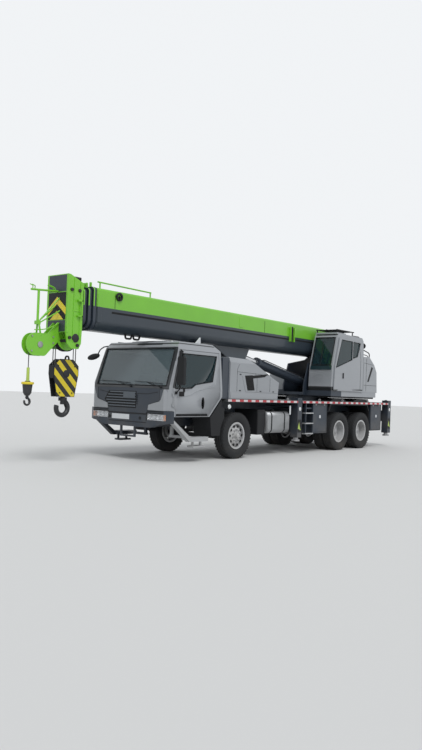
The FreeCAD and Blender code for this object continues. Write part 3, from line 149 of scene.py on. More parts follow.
class Shade:
    """One material while its nodes are wired."""

    def __init__(self, name):
        self.material = bpy.data.materials.new(name)
        self.material.use_nodes = True
        self.tree = self.material.node_tree
        self.shader = self.tree.nodes["Principled BSDF"]
        self.place = self.make("ShaderNodeTexCoord", {}, {}, "Object")
        self.x, self.y, self.z = (self.make("ShaderNodeSeparateXYZ", {}, {0: self.place}, axis)
                                  for axis in "XYZ")

    def make(self, kind, settings, sockets, output=0):
        """Adds a node, sets it, feeds its sockets and returns one output as a field."""
        node = self.tree.nodes.new(kind)
        for name, value in settings.items():
            setattr(node, name, value)
        for name, value in sockets.items():
            self.feed(node.inputs[name], value)
        return Field(self, node.outputs[output])

    def feed(self, socket, value):
        if isinstance(value, Field):
            self.tree.links.new(value.socket, socket)
        elif isinstance(value, (tuple, list)) and len(value) == 3 and socket.type == "RGBA":
            socket.default_value = (*value, 1)
        else:
            socket.default_value = value

    def set(self, **values):
        """Sets the main shader: base_color, roughness, metallic, coat_weight, alpha, normal."""
        for name, value in values.items():
            self.feed(self.shader.inputs[name.replace("_", " ").title()], value)
        return self.material

    def noise(self, scale, detail):
        sockets = {"Vector": self.place, "Scale": scale, "Detail": detail}
        return self.make("ShaderNodeTexNoise", {}, sockets, "Fac")

    def mix(self, mask, first, second):
        """The first colour where the mask is nought, the second where it is one."""
        return self.make("ShaderNodeMix", {"data_type": "RGBA"}, {0: mask, 6: first, 7: second}, 2)

    def bump(self, height, strength, distance):
        return self.make("ShaderNodeBump", {}, {"Height": height, "Strength": strength, "Distance": distance})


def dusty(shade, colour, amount, low=0.3, high=1.6):
    """The colour with road dust that thins from low to high."""
    rise = (shade.z - low) / (high - low)
    patch = (shade.noise(2.3, 5) - 0.38) * 2.2
    return shade.mix(((1 - rise.held()) * patch.held() * amount).held(), colour, DUST)


def mottled(shade, colour):
    """The colour with a faint, slightly darker mottle."""
    return shade.mix(shade.noise(1.1, 2) * 0.22, colour, tuple(part * 0.72 for part in colour))


def sheen(shade, middle):
    """A roughness that wavers about its middle value."""
    return shade.noise(5, 2) * 0.2 + (middle - 0.1)


def paint(name, colour, roughness=0.38, dust=0.35, coat=0.25):
    """Vehicle paint: a faint mottle, road dust low down, a thin clear coat."""
    shade = Shade(name)
    return shade.set(base_color=dusty(shade, mottled(shade, colour), dust), roughness=sheen(shade, roughness),
                     coat_weight=coat)


def two_tone(name, upper, lower, division):
    """The boom's paint: one colour above a height and another below."""
    shade = Shade(name)
    colour = shade.mix(shade.z > division, lower, upper)
    worn = shade.mix(shade.noise(1.3, 2) * 0.25, colour, (0.03, 0.05, 0.04))
    return shade.set(base_color=worn, roughness=shade.noise(4, 2) * 0.2 + 0.27, coat_weight=0.25)


def banded(name, first, second, pitch):
    """Bands of two colours that follow one another along the crane."""
    shade = Shade(name)
    bands = (shade.x / pitch).part() > 0.5
    worn = shade.mix(shade.noise(9, 3) * 0.25, shade.mix(bands, first, second), GRIME)
    return shade.set(base_color=worn, roughness=0.42)


def hook_block_paint(name):
    """Yellow and black stripes on the block's two faces, black edges, sheaves and hook."""
    shade = Shade(name)
    bands = ((shade.x - ahead(MAIN_HOOK_X) - shade.z) / 0.27).part() > 0.5
    face = (shade.y.size() > 0.0832) * (shade.z > 1.346)
    worn = shade.mix(shade.noise(9, 3) * 0.3, shade.mix(bands, YELLOW, BLACK), GRIME)
    return shade.set(base_color=shade.mix(face, (0.02, 0.021, 0.023), worn), roughness=0.42)


def small_hook_paint(name):
    """A yellow-green rope socket, a yellow rim and a dark weight."""
    shade = Shade(name)
    socket = shade.mix(shade.z > 1.628, (0.03, 0.03, 0.032), MARK)
    rim = (shade.z > 1.573) * (shade.z < 1.602)
    return shade.set(base_color=shade.mix(rim, socket, (0.45, 0.40, 0.05)), roughness=0.5,
                     normal=shade.bump(shade.noise(30, 3), 0.3, 0.003))


def collar_paint(name, start, pitch):
    """A section's two colours with dark collars that carry a green band."""
    shade = Shade(name)
    body = shade.mix(shade.z > BOOM_DIVISION, SLATE, GREEN)
    place = ((shade.x - start) / pitch).part()
    edge = (place > 0.70) * (place < 0.985)
    collar = shade.mix(edge * (shade.z > BOOM_DIVISION), SLATE, GREEN)
    return shade.set(base_color=shade.mix(shade.x > start, body, collar),
                     roughness=shade.noise(4, 2) * 0.2 + 0.3,
                     coat_weight=0.2)


def head_paint(name):
    """The boom's head in green, with the tube behind it in the boom's two colours."""
    shade = Shade(name)
    low_tube = (shade.x < ahead(4.049)) * (shade.z < BOOM_DIVISION)
    return shade.set(base_color=shade.mix(low_tube, mottled(shade, GREEN), SLATE),
                     roughness=sheen(shade, 0.38),
                     coat_weight=0.25)


def parted(name, front, rear, place):
    """Paint that changes colour at a place along the crane."""
    shade = Shade(name)
    colour = shade.mix(shade.x > place, rear, front)
    worn = shade.mix(shade.noise(1.1, 2) * 0.22, colour, (0.05, 0.055, 0.06))
    return shade.set(base_color=dusty(shade, worn, 0.35), roughness=sheen(shade, 0.38), coat_weight=0.2)


def frame_paint(name):
    """The turntable's dark paint, with the side under the housings in the body's grey."""
    shade = Shade(name)
    skirt = (shade.y.size() > 1.1) * (shade.x < ahead(-4.9))
    return shade.set(base_color=dusty(shade, shade.mix(skirt, SLATE, GREY), 0.5), roughness=0.45)


def low_front_paint(name):
    """The operator's cab: the body's grey with a black foot at its front."""
    shade = Shade(name)
    foot = (shade.z < 1.82) * (shade.x > ahead(-4.62))
    return shade.set(base_color=shade.mix(foot, mottled(shade, GREY), BLACK), roughness=sheen(shade, 0.38),
                     coat_weight=0.25)


def step_paint(name):
    """The cab's steps, light on the left and dark on the right; ladders with dark rails and light treads."""
    shade = Shade(name)
    tread = ((shade.z > 0.504) * (shade.z < 0.534) + (shade.z > 0.779) * (shade.z < 0.809)
             + (shade.z > 1.054) * (shade.z < 1.084)).held()
    ladder = shade.mix(tread, SLATE, (0.42, 0.43, 0.44))
    cab = shade.mix(shade.y > 0, SLATE, (0.40, 0.41, 0.42))
    colour = shade.mix(shade.x < ahead(-2.0), cab, ladder)
    return shade.set(base_color=dusty(shade, colour, 0.4, 0.2, 1.2), roughness=0.42, metallic=0.15)


def tyre_rubber(name):
    shade = Shade(name)
    shade.shader.inputs["Specular IOR Level"].default_value = 0.3
    colour = shade.mix(shade.noise(3, 4) * 0.6, (0.020, 0.021, 0.023), (0.045, 0.046, 0.046))
    return shade.set(base_color=dusty(shade, colour, 0.35, 0.0, 0.45), roughness=0.86,
                     normal=shade.bump(shade.noise(60, 3), 0.25, 0.002))


def glass(name, colour, alpha, coat=0.6):
    """Tinted glass, thin enough to see the cab's inside."""
    shade = Shade(name)
    return shade.set(base_color=colour, roughness=0.04, alpha=alpha, coat_weight=coat)


def metal(name, colour, roughness, scratch=0.2):
    shade = Shade(name)
    return shade.set(base_color=shade.mix(shade.noise(7, 3) * 0.4, colour,
                                          tuple(part * 0.6 for part in colour)),
                     metallic=0.85, roughness=shade.noise(20, 2) * scratch + roughness)


def plain(name, colour, roughness, grain=40, height=0.1):
    shade = Shade(name)
    shade.shader.inputs["Specular IOR Level"].default_value = 0.3
    return shade.set(base_color=shade.mix(shade.noise(4, 3) * 0.35, colour,
                                          tuple(part * 0.6 for part in colour)),
                     roughness=roughness, normal=shade.bump(shade.noise(grain, 2), height, 0.003))


def chequer(name, colour):
    """Walkway plate with a raised lozenge pattern."""
    shade = Shade(name)
    first = ((shade.x + shade.y) * 22).part() - 0.5
    second = ((shade.x - shade.y) * 22).part() - 0.5
    ridges = (first.size() * second.size() * 4).held()
    return shade.set(base_color=dusty(shade, colour, 0.6, 0.2, 2.2), roughness=0.55,
                     normal=shade.bump(ridges, 0.5, 0.006))


def wire_rope(name):
    """Twisted strands round an upright rope, dark between the strands as painted shade in the grooves."""
    shade = Shade(name)
    turns = ((shade.z * 40) + (shade.x + shade.y) * 60).part() - 0.5
    # Light on each strand and near-black where the strands meet: painted shade in the grooves.
    return shade.set(base_color=shade.mix(turns.size() * 1.6, (0.16, 0.155, 0.15), (0.03, 0.03, 0.03)),
                     metallic=0.6, roughness=0.5, normal=shade.bump(turns.size(), 0.6, 0.004))


def cab_skin(name, outside, inside):
    """The driver's cab: body paint, dark inner walls, black round the windscreen and slate below it."""
    shade = Shade(name)
    x, side, z = shade.x - FRONT_AXLE, shade.y.size(), shade.z
    screen = x + (z - SCREEN_FOOT[1]) * SCREEN_SLOPE
    room = (x > 0.675) * (x + z * 0.021 < 2.402) * (x + z * SCREEN_SLOPE < 2.862)
    room = room * (z > 1.015) * (z < 2.57) * (z - x * 0.5 < 2.125)
    room = room * (side < 1.168) * (side + (z - DOOR_BELT) * DOOR_LEAN < 1.172)
    border = (screen > 2.37) * (z > 1.562) * (z < 2.476) * (side + (z - 1.64) * 0.026 < 1.166)
    pillar = (side > 1.09) * (screen > 2.19) * (screen < 2.318) * (z > 1.60) * (z < 2.40)
    wing = (x > 2.40) * (z > 1.33) * (z < 1.58) * (side + (1.56 - z) * 0.35 < 1.075)
    colour = shade.mix((border + pillar).held(), outside, (0.012, 0.014, 0.017))
    colour = shade.mix(wing, colour, SLATE)
    worn = shade.mix(shade.noise(1.1, 2) * 0.2, colour, tuple(part * 0.75 for part in outside))
    return shade.set(base_color=shade.mix(room, dusty(shade, worn, 0.3), inside),
                     roughness=sheen(shade, 0.38),
                     coat_weight=0.2)


def make_materials():
    """Makes every finish of the crane under its plain name."""
    paint("grey paint", GREY)
    cab_skin("cab skin", GREY, (0.03, 0.032, 0.035))
    paint("slate paint", SLATE, 0.5, 0.5, 0.1)
    two_tone("boom paint", GREEN, SLATE, BOOM_DIVISION)
    collar_paint("collar paint", ahead(3.689), 0.1)
    paint("green paint", GREEN, 0.38, 0.0)
    head_paint("head paint")
    paint("rim paint", (0.46, 0.465, 0.47), 0.36, 0.45)
    plain("cast iron", (0.03, 0.03, 0.033), 0.6)
    plain("black plastic", BLACK, 0.55, 90)
    # Black rubber for the trim; the same finish also colours painted shade: behind the grille's slats, in the
    # front rims' hand holes and in a wedge on the engine cover.
    plain("rubber trim and painted shade", (0.01, 0.01, 0.011), 0.7, 120, 0.05)
    tyre_rubber("tyre rubber")
    glass("tinted glass", (0.010, 0.030, 0.036), 0.78, 0.1)
    # The windscreen: a real blue-grey tint, lightened as a painted reflection of the sky.
    glass("screen glass with painted reflection", (0.105, 0.140, 0.155), 0.74)
    glass("dark glass", (0.016, 0.036, 0.042), 1.0)
    glass("clear lens", (0.55, 0.58, 0.6), 0.22)
    glass("lamp glass", (0.72, 0.74, 0.74), 0.9)
    glass("amber lens", (0.75, 0.22, 0.02), 0.95)
    glass("red lens", (0.55, 0.02, 0.015), 0.95)
    metal("bright reflector", (0.85, 0.85, 0.87), 0.1, 0.05)
    plain("seat cloth", (0.035, 0.037, 0.042), 0.9, 300, 0.3)
    metal("plated rod", (0.75, 0.76, 0.78), 0.12, 0.06)
    metal("bare steel", (0.42, 0.42, 0.43), 0.35)
    metal("tank metal", (0.40, 0.41, 0.42), 0.38)
    wire_rope("wire rope")
    chequer("chequer plate", (0.07, 0.075, 0.08))
    hook_block_paint("hook block paint")
    small_hook_paint("small hook paint")
    parted("bonnet paint", SLATE, GREY, ahead(0.376))
    frame_paint("turntable paint")
    step_paint("step paint")
    banded("edge tape", (0.72, 0.66, 0.67), (0.50, 0.03, 0.045), 0.31)
    paint("grille paint", (0.075, 0.090, 0.108), 0.42, 0.2, 0.1)
    low_front_paint("operator cab paint")
    paint("yellow paint", YELLOW, 0.4, 0.0)
    paint("mark paint", MARK, 0.45, 0.2)
    paint("light plate", (0.62, 0.64, 0.66), 0.4, 0.25)
    metal("mirror glass", (0.7, 0.72, 0.74), 0.03, 0.02)


# Modelling helpers


def clear():
    """Back in object mode with nothing selected."""
    if bpy.context.mode != "OBJECT":
        bpy.ops.object.mode_set(mode="OBJECT")
    bpy.ops.object.select_all(action="DESELECT")


def choose(*pieces):
    """Only these pieces selected, the last one active."""
    clear()
    for piece in pieces:
        piece.select_set(True)
        bpy.context.view_layer.objects.active = piece


def freeze():
    """The active piece's place goes into its mesh."""
    bpy.ops.object.transform_apply(location=True, rotation=True, scale=True)
    return bpy.context.object


@contextmanager
def editing():
    """The active piece in edit mode with all of it selected, and back in object mode after the block."""
    bpy.ops.object.mode_set(mode="EDIT")
    bpy.ops.mesh.select_all(action="SELECT")
    yield
    bpy.ops.object.mode_set(mode="OBJECT")


def block(low, high, bevel=0.006, segments=2):
    """A box between two corners with bevelled edges."""
    clear()
    low, high = Vector(low), Vector(high)
    bpy.ops.mesh.primitive_cube_add(size=1, location=(low + high) / 2, scale=high - low)
    piece = freeze()
    with editing():
        bpy.ops.mesh.bevel(offset=min(bevel, min(high - low) * 0.45), segments=segments, affect="EDGES")
    return piece


def slab(points, thickness, bevel=0.003):
    """A flat outline given a thickness along its own normal, with bevelled edges."""
    clear()
    bpy.ops.mesh.primitive_circle_add(vertices=len(points), radius=1, fill_type="NGON")
    piece = bpy.context.object
    for corner, point in zip(piece.data.vertices, points):
        corner.co = point
    normal = (Vector(points[1]) - Vector(points[0])).cross(Vector(points[2]) - Vector(points[1])).normalized()
    with editing():
        bpy.ops.mesh.extrude_region_move(TRANSFORM_OT_translate={"value": normal * thickness})
        bpy.ops.mesh.select_all(action="SELECT")
        bpy.ops.mesh.normals_make_consistent(inside=False)
        bpy.ops.mesh.bevel(offset=bevel, segments=1, affect="EDGES")
    return piece


def pipe(points, radius, sides=3):
    """A round bar, hose or wire through some points."""
    clear()
    bpy.ops.curve.primitive_nurbs_path_add()
    piece = bpy.context.object
    curve = piece.data
    curve.splines.clear()
    line = curve.splines.new("POLY")
    line.points.add(len(points) - 1)
    for knot, point in zip(line.points, points):
        knot.co = (*point, 1)
    curve.bevel_depth = radius
    curve.bevel_resolution = sides
    curve.use_fill_caps = True
    bpy.ops.object.convert(target="MESH")
    return freeze()


def bend(points, radius):
    """The points with each inner corner rounded off by an arc."""
    steps = 5
    out = [Vector(points[0])]
    for before, corner, after in zip(points, points[1:], points[2:]):
        before, corner, after = Vector(before), Vector(corner), Vector(after)
        reach = min(radius, (before - corner).length * 0.49, (after - corner).length * 0.49)
        start = corner + (before - corner).normalized() * reach
        end = corner + (after - corner).normalized() * reach
        for step in range(steps + 1):
            t = step / steps
            out.append(start * (1 - t) ** 2 + corner * 2 * t * (1 - t) + end * t ** 2)
    return out + [Vector(points[-1])]


def turned(profile, centre, axis, steps):
    """A closed outline of (radius, along) points spun about an axis through the centre."""
    clear()
    bpy.ops.mesh.primitive_circle_add(vertices=len(profile), radius=1, fill_type="NOTHING")
    piece = bpy.context.object
    axis = Vector(axis).normalized()
    side = Vector((0, 0, 1)) if abs(axis.z) < 0.5 else Vector((1, 0, 0))
    for corner, (radius, along) in zip(piece.data.vertices, profile):
        corner.co = Vector(centre) + side * radius + axis * along
    with editing():
        bpy.ops.mesh.spin(steps=steps, angle=math.tau, center=centre, axis=axis)
        bpy.ops.mesh.select_all(action="SELECT")
        bpy.ops.mesh.remove_doubles(threshold=0.0002)
        bpy.ops.mesh.dissolve_degenerate(threshold=0.0001)
        bpy.ops.mesh.normals_make_consistent(inside=False)
    return piece


def square_ring(inner, outer, low, high, centre, axis, steps):
    """A square-edged ring from low to high along its axis; a disc where it has no inner radius."""
    return turned(((inner, low), (outer, low), (outer, high), (inner, high)), centre, axis, steps)


def round_cap(radius, height, top_radius, top, centre, axis, steps):
    """A boss that is straight to its height and slopes in to a smaller flat top."""
    return turned(((0, 0), (radius, 0), (radius, height), (top_radius, top), (0, top)), centre, axis, steps)


def round_stud(radius, height, top, centre, axis, steps):
    """A stud that is straight to its height and ends in a blunt point."""
    return turned(((0, 0), (radius, 0), (radius, height), (0, top)), centre, axis, steps)


def round_copies(piece, centre, axis, count):
    """The piece repeated round an axis, all joined."""
    made = [piece]
    for number in range(1, count):
        choose(piece)
        bpy.ops.object.duplicate()
        turn = Matrix.Translation(centre) @ Matrix.Rotation(math.tau * number / count, 4, axis)
        bpy.context.object.matrix_world = turn @ Matrix.Translation(-Vector(centre))
        made.append(freeze())
    return joined(made)


def joined(pieces):
    choose(*pieces)
    if len(pieces) > 1:
        bpy.ops.object.join()
    return freeze()


def both_sides(piece):
    """The piece and its mirror image across the crane's middle."""
    choose(piece)
    bpy.ops.object.modifier_add(type="MIRROR")
    mirror = piece.modifiers[-1]
    mirror.use_axis = (False, True, False)
    mirror.use_mirror_merge = False
    bpy.ops.object.modifier_apply(modifier=mirror.name)
    return piece


def twin(piece):
    """A separate mirror image across the crane's middle."""
    choose(piece)
    bpy.ops.object.duplicate()
    bpy.ops.transform.mirror(constraint_axis=(False, True, False), orient_type="GLOBAL",
                             center_override=(0, 0, 0))
    other = freeze()
    with editing():
        bpy.ops.mesh.normals_make_consistent(inside=False)
    return other


def on_side(piece, side):
    """The piece as made on the left, or moved across to the right where the side is negative."""
    if side > 0:
        return piece
    other = twin(piece)
    bpy.data.objects.remove(piece)
    return other


def finish(piece, name, finish_name, body, smooth=35):
    """Names the piece, gives it its finish and lets it ride on its body."""
    choose(piece)
    bpy.ops.object.shade_smooth_by_angle(angle=math.radians(smooth))
    piece.name = name
    piece.data.name = name
    piece.data.materials.clear()
    piece.data.materials.append(bpy.data.materials[finish_name])
    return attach(piece, body)


def solids_of(node):
    """The CAD node's solids as separate pieces with their triangles joined up, largest first."""
    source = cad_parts[node]
    clear()
    bpy.ops.mesh.primitive_cube_add()
    piece = bpy.context.object
    piece.data = source.data.copy()
    with editing():
        bpy.ops.mesh.remove_doubles(threshold=0.00001)
        bpy.ops.mesh.separate(type="LOOSE")
    return sorted(bpy.context.selected_objects, key=lambda one: -one.dimensions.length)


def middle_of(piece):
    """The middle of a piece along the crane, ahead of the front axle, and across it."""
    low = [min(corner[axis] for corner in piece.bound_box) for axis in range(2)]
    high = [max(corner[axis] for corner in piece.bound_box) for axis in range(2)]
    return (low[0] + high[0]) / 2 - FRONT_AXLE, (low[1] + high[1]) / 2


def boxes(rows, bevel=0.004):
    """Boxes from rows of (x low, x high, y low, y high, z low, z high), x ahead of the front axle, joined."""
    return joined([block(put(x0, y0, z0), put(x1, y1, z1), bevel, 1) for x0, x1, y0, y1, z0, z1 in rows])


def loop_pipe(points, radius):
    """A round bead along a closed outline."""
    return pipe([*points, points[0]], radius, 2)


def side_points(outline, y):
    """Points of a side view, (x ahead of the front axle, z), at one place across or at y(z)."""
    return [put(x, y(z) if callable(y) else y, z) for x, z in outline]


def plate(outline, y, thickness, bevel=0.002):
    """A flat side-view outline that stands out from the crane's left side."""
    points = side_points(outline, y)
    turn = sum(one[0] * two[2] - two[0] * one[2] for one, two in zip(points, points[1:] + points[:1]))
    return slab(points, -thickness if turn > 0 else thickness, bevel)


def cushion(low, high, round_off):
    """A padded block with soft edges and a slightly full face, ahead of the front axle."""
    piece = block(put(*low), put(*high), round_off, 4)
    bpy.ops.object.modifier_add(type="SUBSURF")
    piece.modifiers[-1].levels = 1
    piece.modifiers[-1].render_levels = 1
    bpy.ops.object.modifier_apply(modifier=piece.modifiers[-1].name)
    return piece


NODE_FINISH = (
    # finish, nodes that keep their CAD shape
    ("slate paint", ("chassis_frame", "boom_rest", "front_bumper", "luff_barrel")),
    ("turntable paint", ("turntable_frame",)),
    ("chequer plate", ("deck_plates",)),
    ("cast iron", ("engine_block", "axles", "knuckle_left", "knuckle_right")),
    ("cab skin", ("cab_shell",)),
    ("grey paint", ("counterweight", "rear_housings")),
    ("operator cab paint", ("op_cab_shell",)),
    ("bonnet paint", ("bonnet",)),
    ("step paint", ("steps",)),
    ("screen glass with painted reflection", ("cab_windscreen",)),
    ("tinted glass", ("op_cab_glass",)),
    ("black plastic", ("mudguards", "mirror_left")),
    ("boom paint", ("boom_section_1",)),
    ("collar paint", ("boom_section_2", "boom_section_3", "boom_section_4")),
    ("head paint", ("boom_section_5",)),
    ("plated rod", ("luff_rod",)),
    ("wire rope", ("main_winch", "aux_winch", "main_rope", "aux_rope")),
    ("hook block paint", ("main_block",)),
    ("small hook paint", ("aux_hook",)),
)
CORNERS = ("front_left", "front_right", "rear_left", "rear_right")
REAR_WHEELS = tuple((axle, side) for axle in (2, 3) for side in ("left", "right"))


class PaintFrame(bpy.types.Operator):
    """Gives the CAD nodes their finishes"""
    bl_idname = "crane.paint_frame"
    bl_label = "Paint the frame"

    def execute(self, context):
        make_materials()
        table = list(NODE_FINISH)
        table.append(("slate paint", tuple(f"stand_beam_{corner}" for corner in CORNERS)))
        table.append(("bare steel", tuple(f"stand_jack_{corner}" for corner in CORNERS)))
        table.append(("rim paint", ("front_rim_left", "front_rim_right")
                      + tuple(f"rear_rims_{axle}_{side}" for axle, side in REAR_WHEELS)))
        for finish_name, nodes in table:
            for node in nodes:
                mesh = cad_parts[node].data
                mesh.materials.clear()
                mesh.materials.append(bpy.data.materials[finish_name])
        return {"FINISHED"}


class SplitPanes(bpy.types.Operator):
    """Gives doors with their panes, tanks and lockers a finish for each solid"""
    bl_idname = "crane.split_panes"
    bl_label = "Doors, tanks and lockers"

    def execute(self, context):
        for node, body, finishes in (
                ("cab_door_left", "door_left", ("cab skin", "tinted glass")),
                ("cab_door_right", "door_right", ("cab skin", "tinted glass")),
                ("op_cab_door", "operator_door", ("grey paint", "tinted glass"))):
            for number, (piece, finish_name) in enumerate(zip(solids_of(node), finishes), start=1):
                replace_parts(finish(piece, f"{node}_{number}", finish_name, body), node)
        for number, piece in enumerate(solids_of("tanks_and_lockers"), start=1):
            x, y = middle_of(piece)
            finish_name = "tank metal" if -2.0 < x < -1.2 else "black plastic" if x > -1.2 else "slate paint"
            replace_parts(finish(piece, f"side_box_{number}", finish_name, "carrier"), "tanks_and_lockers")
        return {"FINISHED"}


def tread_profile():
    """A tyre's section as (radius, across): beads, bulging walls, shoulders and three grooves."""
    half = TYRE_WIDTH / 2
    bead, tread = 0.286, TYRE_RADIUS
    wall = [(bead, 0.100), (0.322, 0.102), (0.345, 0.128), (0.40, 0.144), (0.45, half - 0.0005),
            (0.50, half - 0.006),
            (tread - 0.012, half - 0.022), (tread - 0.001, half - 0.034)]
    ribs = []
    for middle in (0.062, 0.0, -0.062):
        ribs += [(tread, middle + 0.008), (tread - 0.014, middle + 0.005), (tread - 0.014, middle - 0.005),
                 (tread, middle - 0.008)]
    return wall + ribs + [(radius, -across) for radius, across in reversed(wall)]


def tyre_at(centre):
    """A treaded tyre: a spun section and shoulder blocks."""
    carcass = turned(tread_profile(), centre, (0, 1, 0), 56)
    x, y, z = centre
    top = z + TYRE_RADIUS
    lug = block((x - 0.017, y + 0.098, top - 0.03), (x + 0.017, y + 0.140, top - 0.0035), 0.004, 1)
    choose(lug)
    bpy.ops.object.duplicate()
    bpy.ops.transform.translate(value=(0.022, -0.238, 0))
    far = freeze()
    lugs = round_copies(joined([lug, far]), centre, "Y", 40)
    return joined([carcass, lugs])


class MakeTyres(bpy.types.Operator):
    """Replaces the plain tyres by treaded ones"""
    bl_idname = "crane.make_tyres"
    bl_label = "Tyres"

    def execute(self, context):
        centre = [(low + high) / 2 for low, high in zip(TYRE_LOW, TYRE_HIGH)]
        left = tyre_at(Vector(centre))
        spots = [("front_tyre_left", "wheel_front_left", [(0, 0, 0)]),
                 ("front_tyre_right", "wheel_front_right", [(0, -2 * centre[1], 0)])]
        for axle, side in REAR_WHEELS:
            node = f"rear_tyres_{axle}_{side}"
            low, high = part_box(node)
            x = (low[0] + high[0]) / 2 - FRONT_AXLE
            pair = (low[1] + TYRE_WIDTH / 2, high[1] - TYRE_WIDTH / 2)
            spots.append((node, f"wheel_{axle}_{side}", [(x, y - centre[1], 0) for y in pair]))
        for node, body, shifts in spots:
            made = []
            for shift in shifts:
                choose(left)
                bpy.ops.object.duplicate()
                bpy.ops.transform.translate(value=shift)
                made.append(freeze())
            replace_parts(finish(joined(made), f"{node}_treaded", "tyre rubber", body, 40), node)
        bpy.data.objects.remove(left)
        return {"FINISHED"}


class MakeWheelNuts(bpy.types.Operator):
    """Adds the nuts and hub details of every wheel, and black discs of painted shade in the front rims' hand
    holes
    """
    bl_idname = "crane.make_wheel_nuts"
    bl_label = "Wheel nuts and hubs"

    def nuts(self, centre, ring, face, count, outward):
        """Hexagon nuts with their studs on a ring."""
        out = Vector((0, outward, 0))
        spot = centre + Vector((0, 0, ring)) + out * face
        hexagon = round_cap(0.017, 0.022, 0.012, 0.026, spot, out, 6)
        stud = round_stud(0.009, 0.044, 0.046, spot, out, 8)
        return round_copies(joined([hexagon, stud]), centre, "Y", count)

    def execute(self, context):
        count = 10
        front_middle, rear_middle = 1.05, 1.075
        for side, sign in SIDES:
            centre = Vector((FRONT_AXLE, sign * front_middle, TYRE_RADIUS))
            ring = self.nuts(centre, 0.135, 0.096, count, sign)
            finish(ring, f"front_nuts_{side}", "bare steel", f"wheel_front_{side}", 30)
            # Black discs in the front rims' hand holes: painted shade of the holes' dark insides.
            hole_shade = turned(((0, 0.088), (0.031, 0.088), (0.031, 0.0975), (0.026, 0.0985), (0, 0.0985)),
                          centre + Vector((0.225, 0, 0)), (0, sign, 0), 16)
            hole_shades = round_copies(hole_shade, centre, "Y", count)
            finish(hole_shades, f"front_hand_holes_{side}", "rubber trim and painted shade", f"wheel_front_{side}", 30)
            for axle in (2, 3):
                low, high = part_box(f"rear_rims_{axle}_{side}")
                centre = Vector(((low[0] + high[0]) / 2, sign * rear_middle, TYRE_RADIUS))
                ring = self.nuts(centre, 0.143, -0.150, count, sign)
                cap = round_cap(0.075, 0.03, 0.045, 0.042, centre - Vector((0, sign * 0.02, 0)), (0, sign, 0),
                                24)
                finish(joined([ring, cap]), f"rear_nuts_{axle}_{side}", "bare steel", f"wheel_{axle}_{side}",
                       30)
        return {"FINISHED"}


def door_face(z):
    """The door's outer face, upright to the belt and leaning in above it."""
    return BODY_SIDE - max(0.0, z - DOOR_BELT) * DOOR_LEAN


def screen_face(y, z, proud=0.0):
    """A point on the driver's windscreen wall, or proud of it along the wall's normal."""
    foot_x, foot_z = SCREEN_FOOT
    return put(foot_x - (z - foot_z) * SCREEN_SLOPE + proud * 0.9535, y, z + proud * 0.301)


DOOR_WINDOW = ((2.235, 1.59), (2.038, 2.345), (0.815, 2.345), (0.985, 1.77), (1.56, 1.69), (1.70, 1.612))


class MakeSeats(bpy.types.Operator):
    """Replaces the plain seats of both cabs by padded ones, and finishes the dash and consoles"""
    bl_idname = "crane.make_seats"
    bl_label = "Seats and dash"

    def seat(self, front, floor, middle):
        """Pads and pedestal of one seat; its front edge, floor and middle across."""
        low, high = middle - 0.24, middle + 0.24
        base = boxes(((front - 0.46, front - 0.06, low + 0.07, high - 0.07, floor - 0.004, floor + 0.31),),
                     0.02)
        squab = cushion((front - 0.47, low, floor + 0.30), (front, high, floor + 0.44), 0.05)
        back = cushion((front - 0.12, low, floor + 0.38), (front, high, floor + 0.86), 0.05)
        rest = cushion((front - 0.09, low + 0.10, floor + 0.88), (front, high - 0.10, floor + 1.06), 0.035)
        hinge = put(front - 0.06, middle, floor + 0.38)
        turn = Matrix.Translation(hinge) @ Matrix.Rotation(math.radians(-9), 4,
                                                           "Y") @ Matrix.Translation(-hinge)
        for pad in (back, rest):
            pad.matrix_world = Matrix.Translation((-0.385, 0, 0)) @ turn @ pad.matrix_world
        return base, joined([squab, back, rest])

    def execute(self, context):
        dash = solids_of("cab_interior")
        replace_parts(finish(dash[0], "dash_and_wheel", "black plastic", "carrier"), "cab_interior")
        for spare in dash[1:]:
            bpy.data.objects.remove(spare)
        for label, sign in SIDES:
            base, pads = self.seat(1.76, 1.04, sign * 0.60)
            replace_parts(finish(base, f"seat_base_{label}", "black plastic", "carrier"), "cab_interior")
            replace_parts(finish(pads, f"seat_{label}", "seat cloth", "carrier", 60), "cab_interior")
        inside = solids_of("op_cab_interior")
        bpy.data.objects.remove(inside[0])
        consoles = finish(joined(inside[1:]), "operator_consoles", "black plastic", "turntable")
        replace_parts(consoles, "op_cab_interior")
        base, pads = self.seat(-5.15, 1.74, 0.8225)
        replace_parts(finish(base, "operator_seat_base", "black plastic", "turntable"), "op_cab_interior")
        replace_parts(finish(pads, "operator_seat", "seat cloth", "turntable", 60), "op_cab_interior")
        return {"FINISHED"}


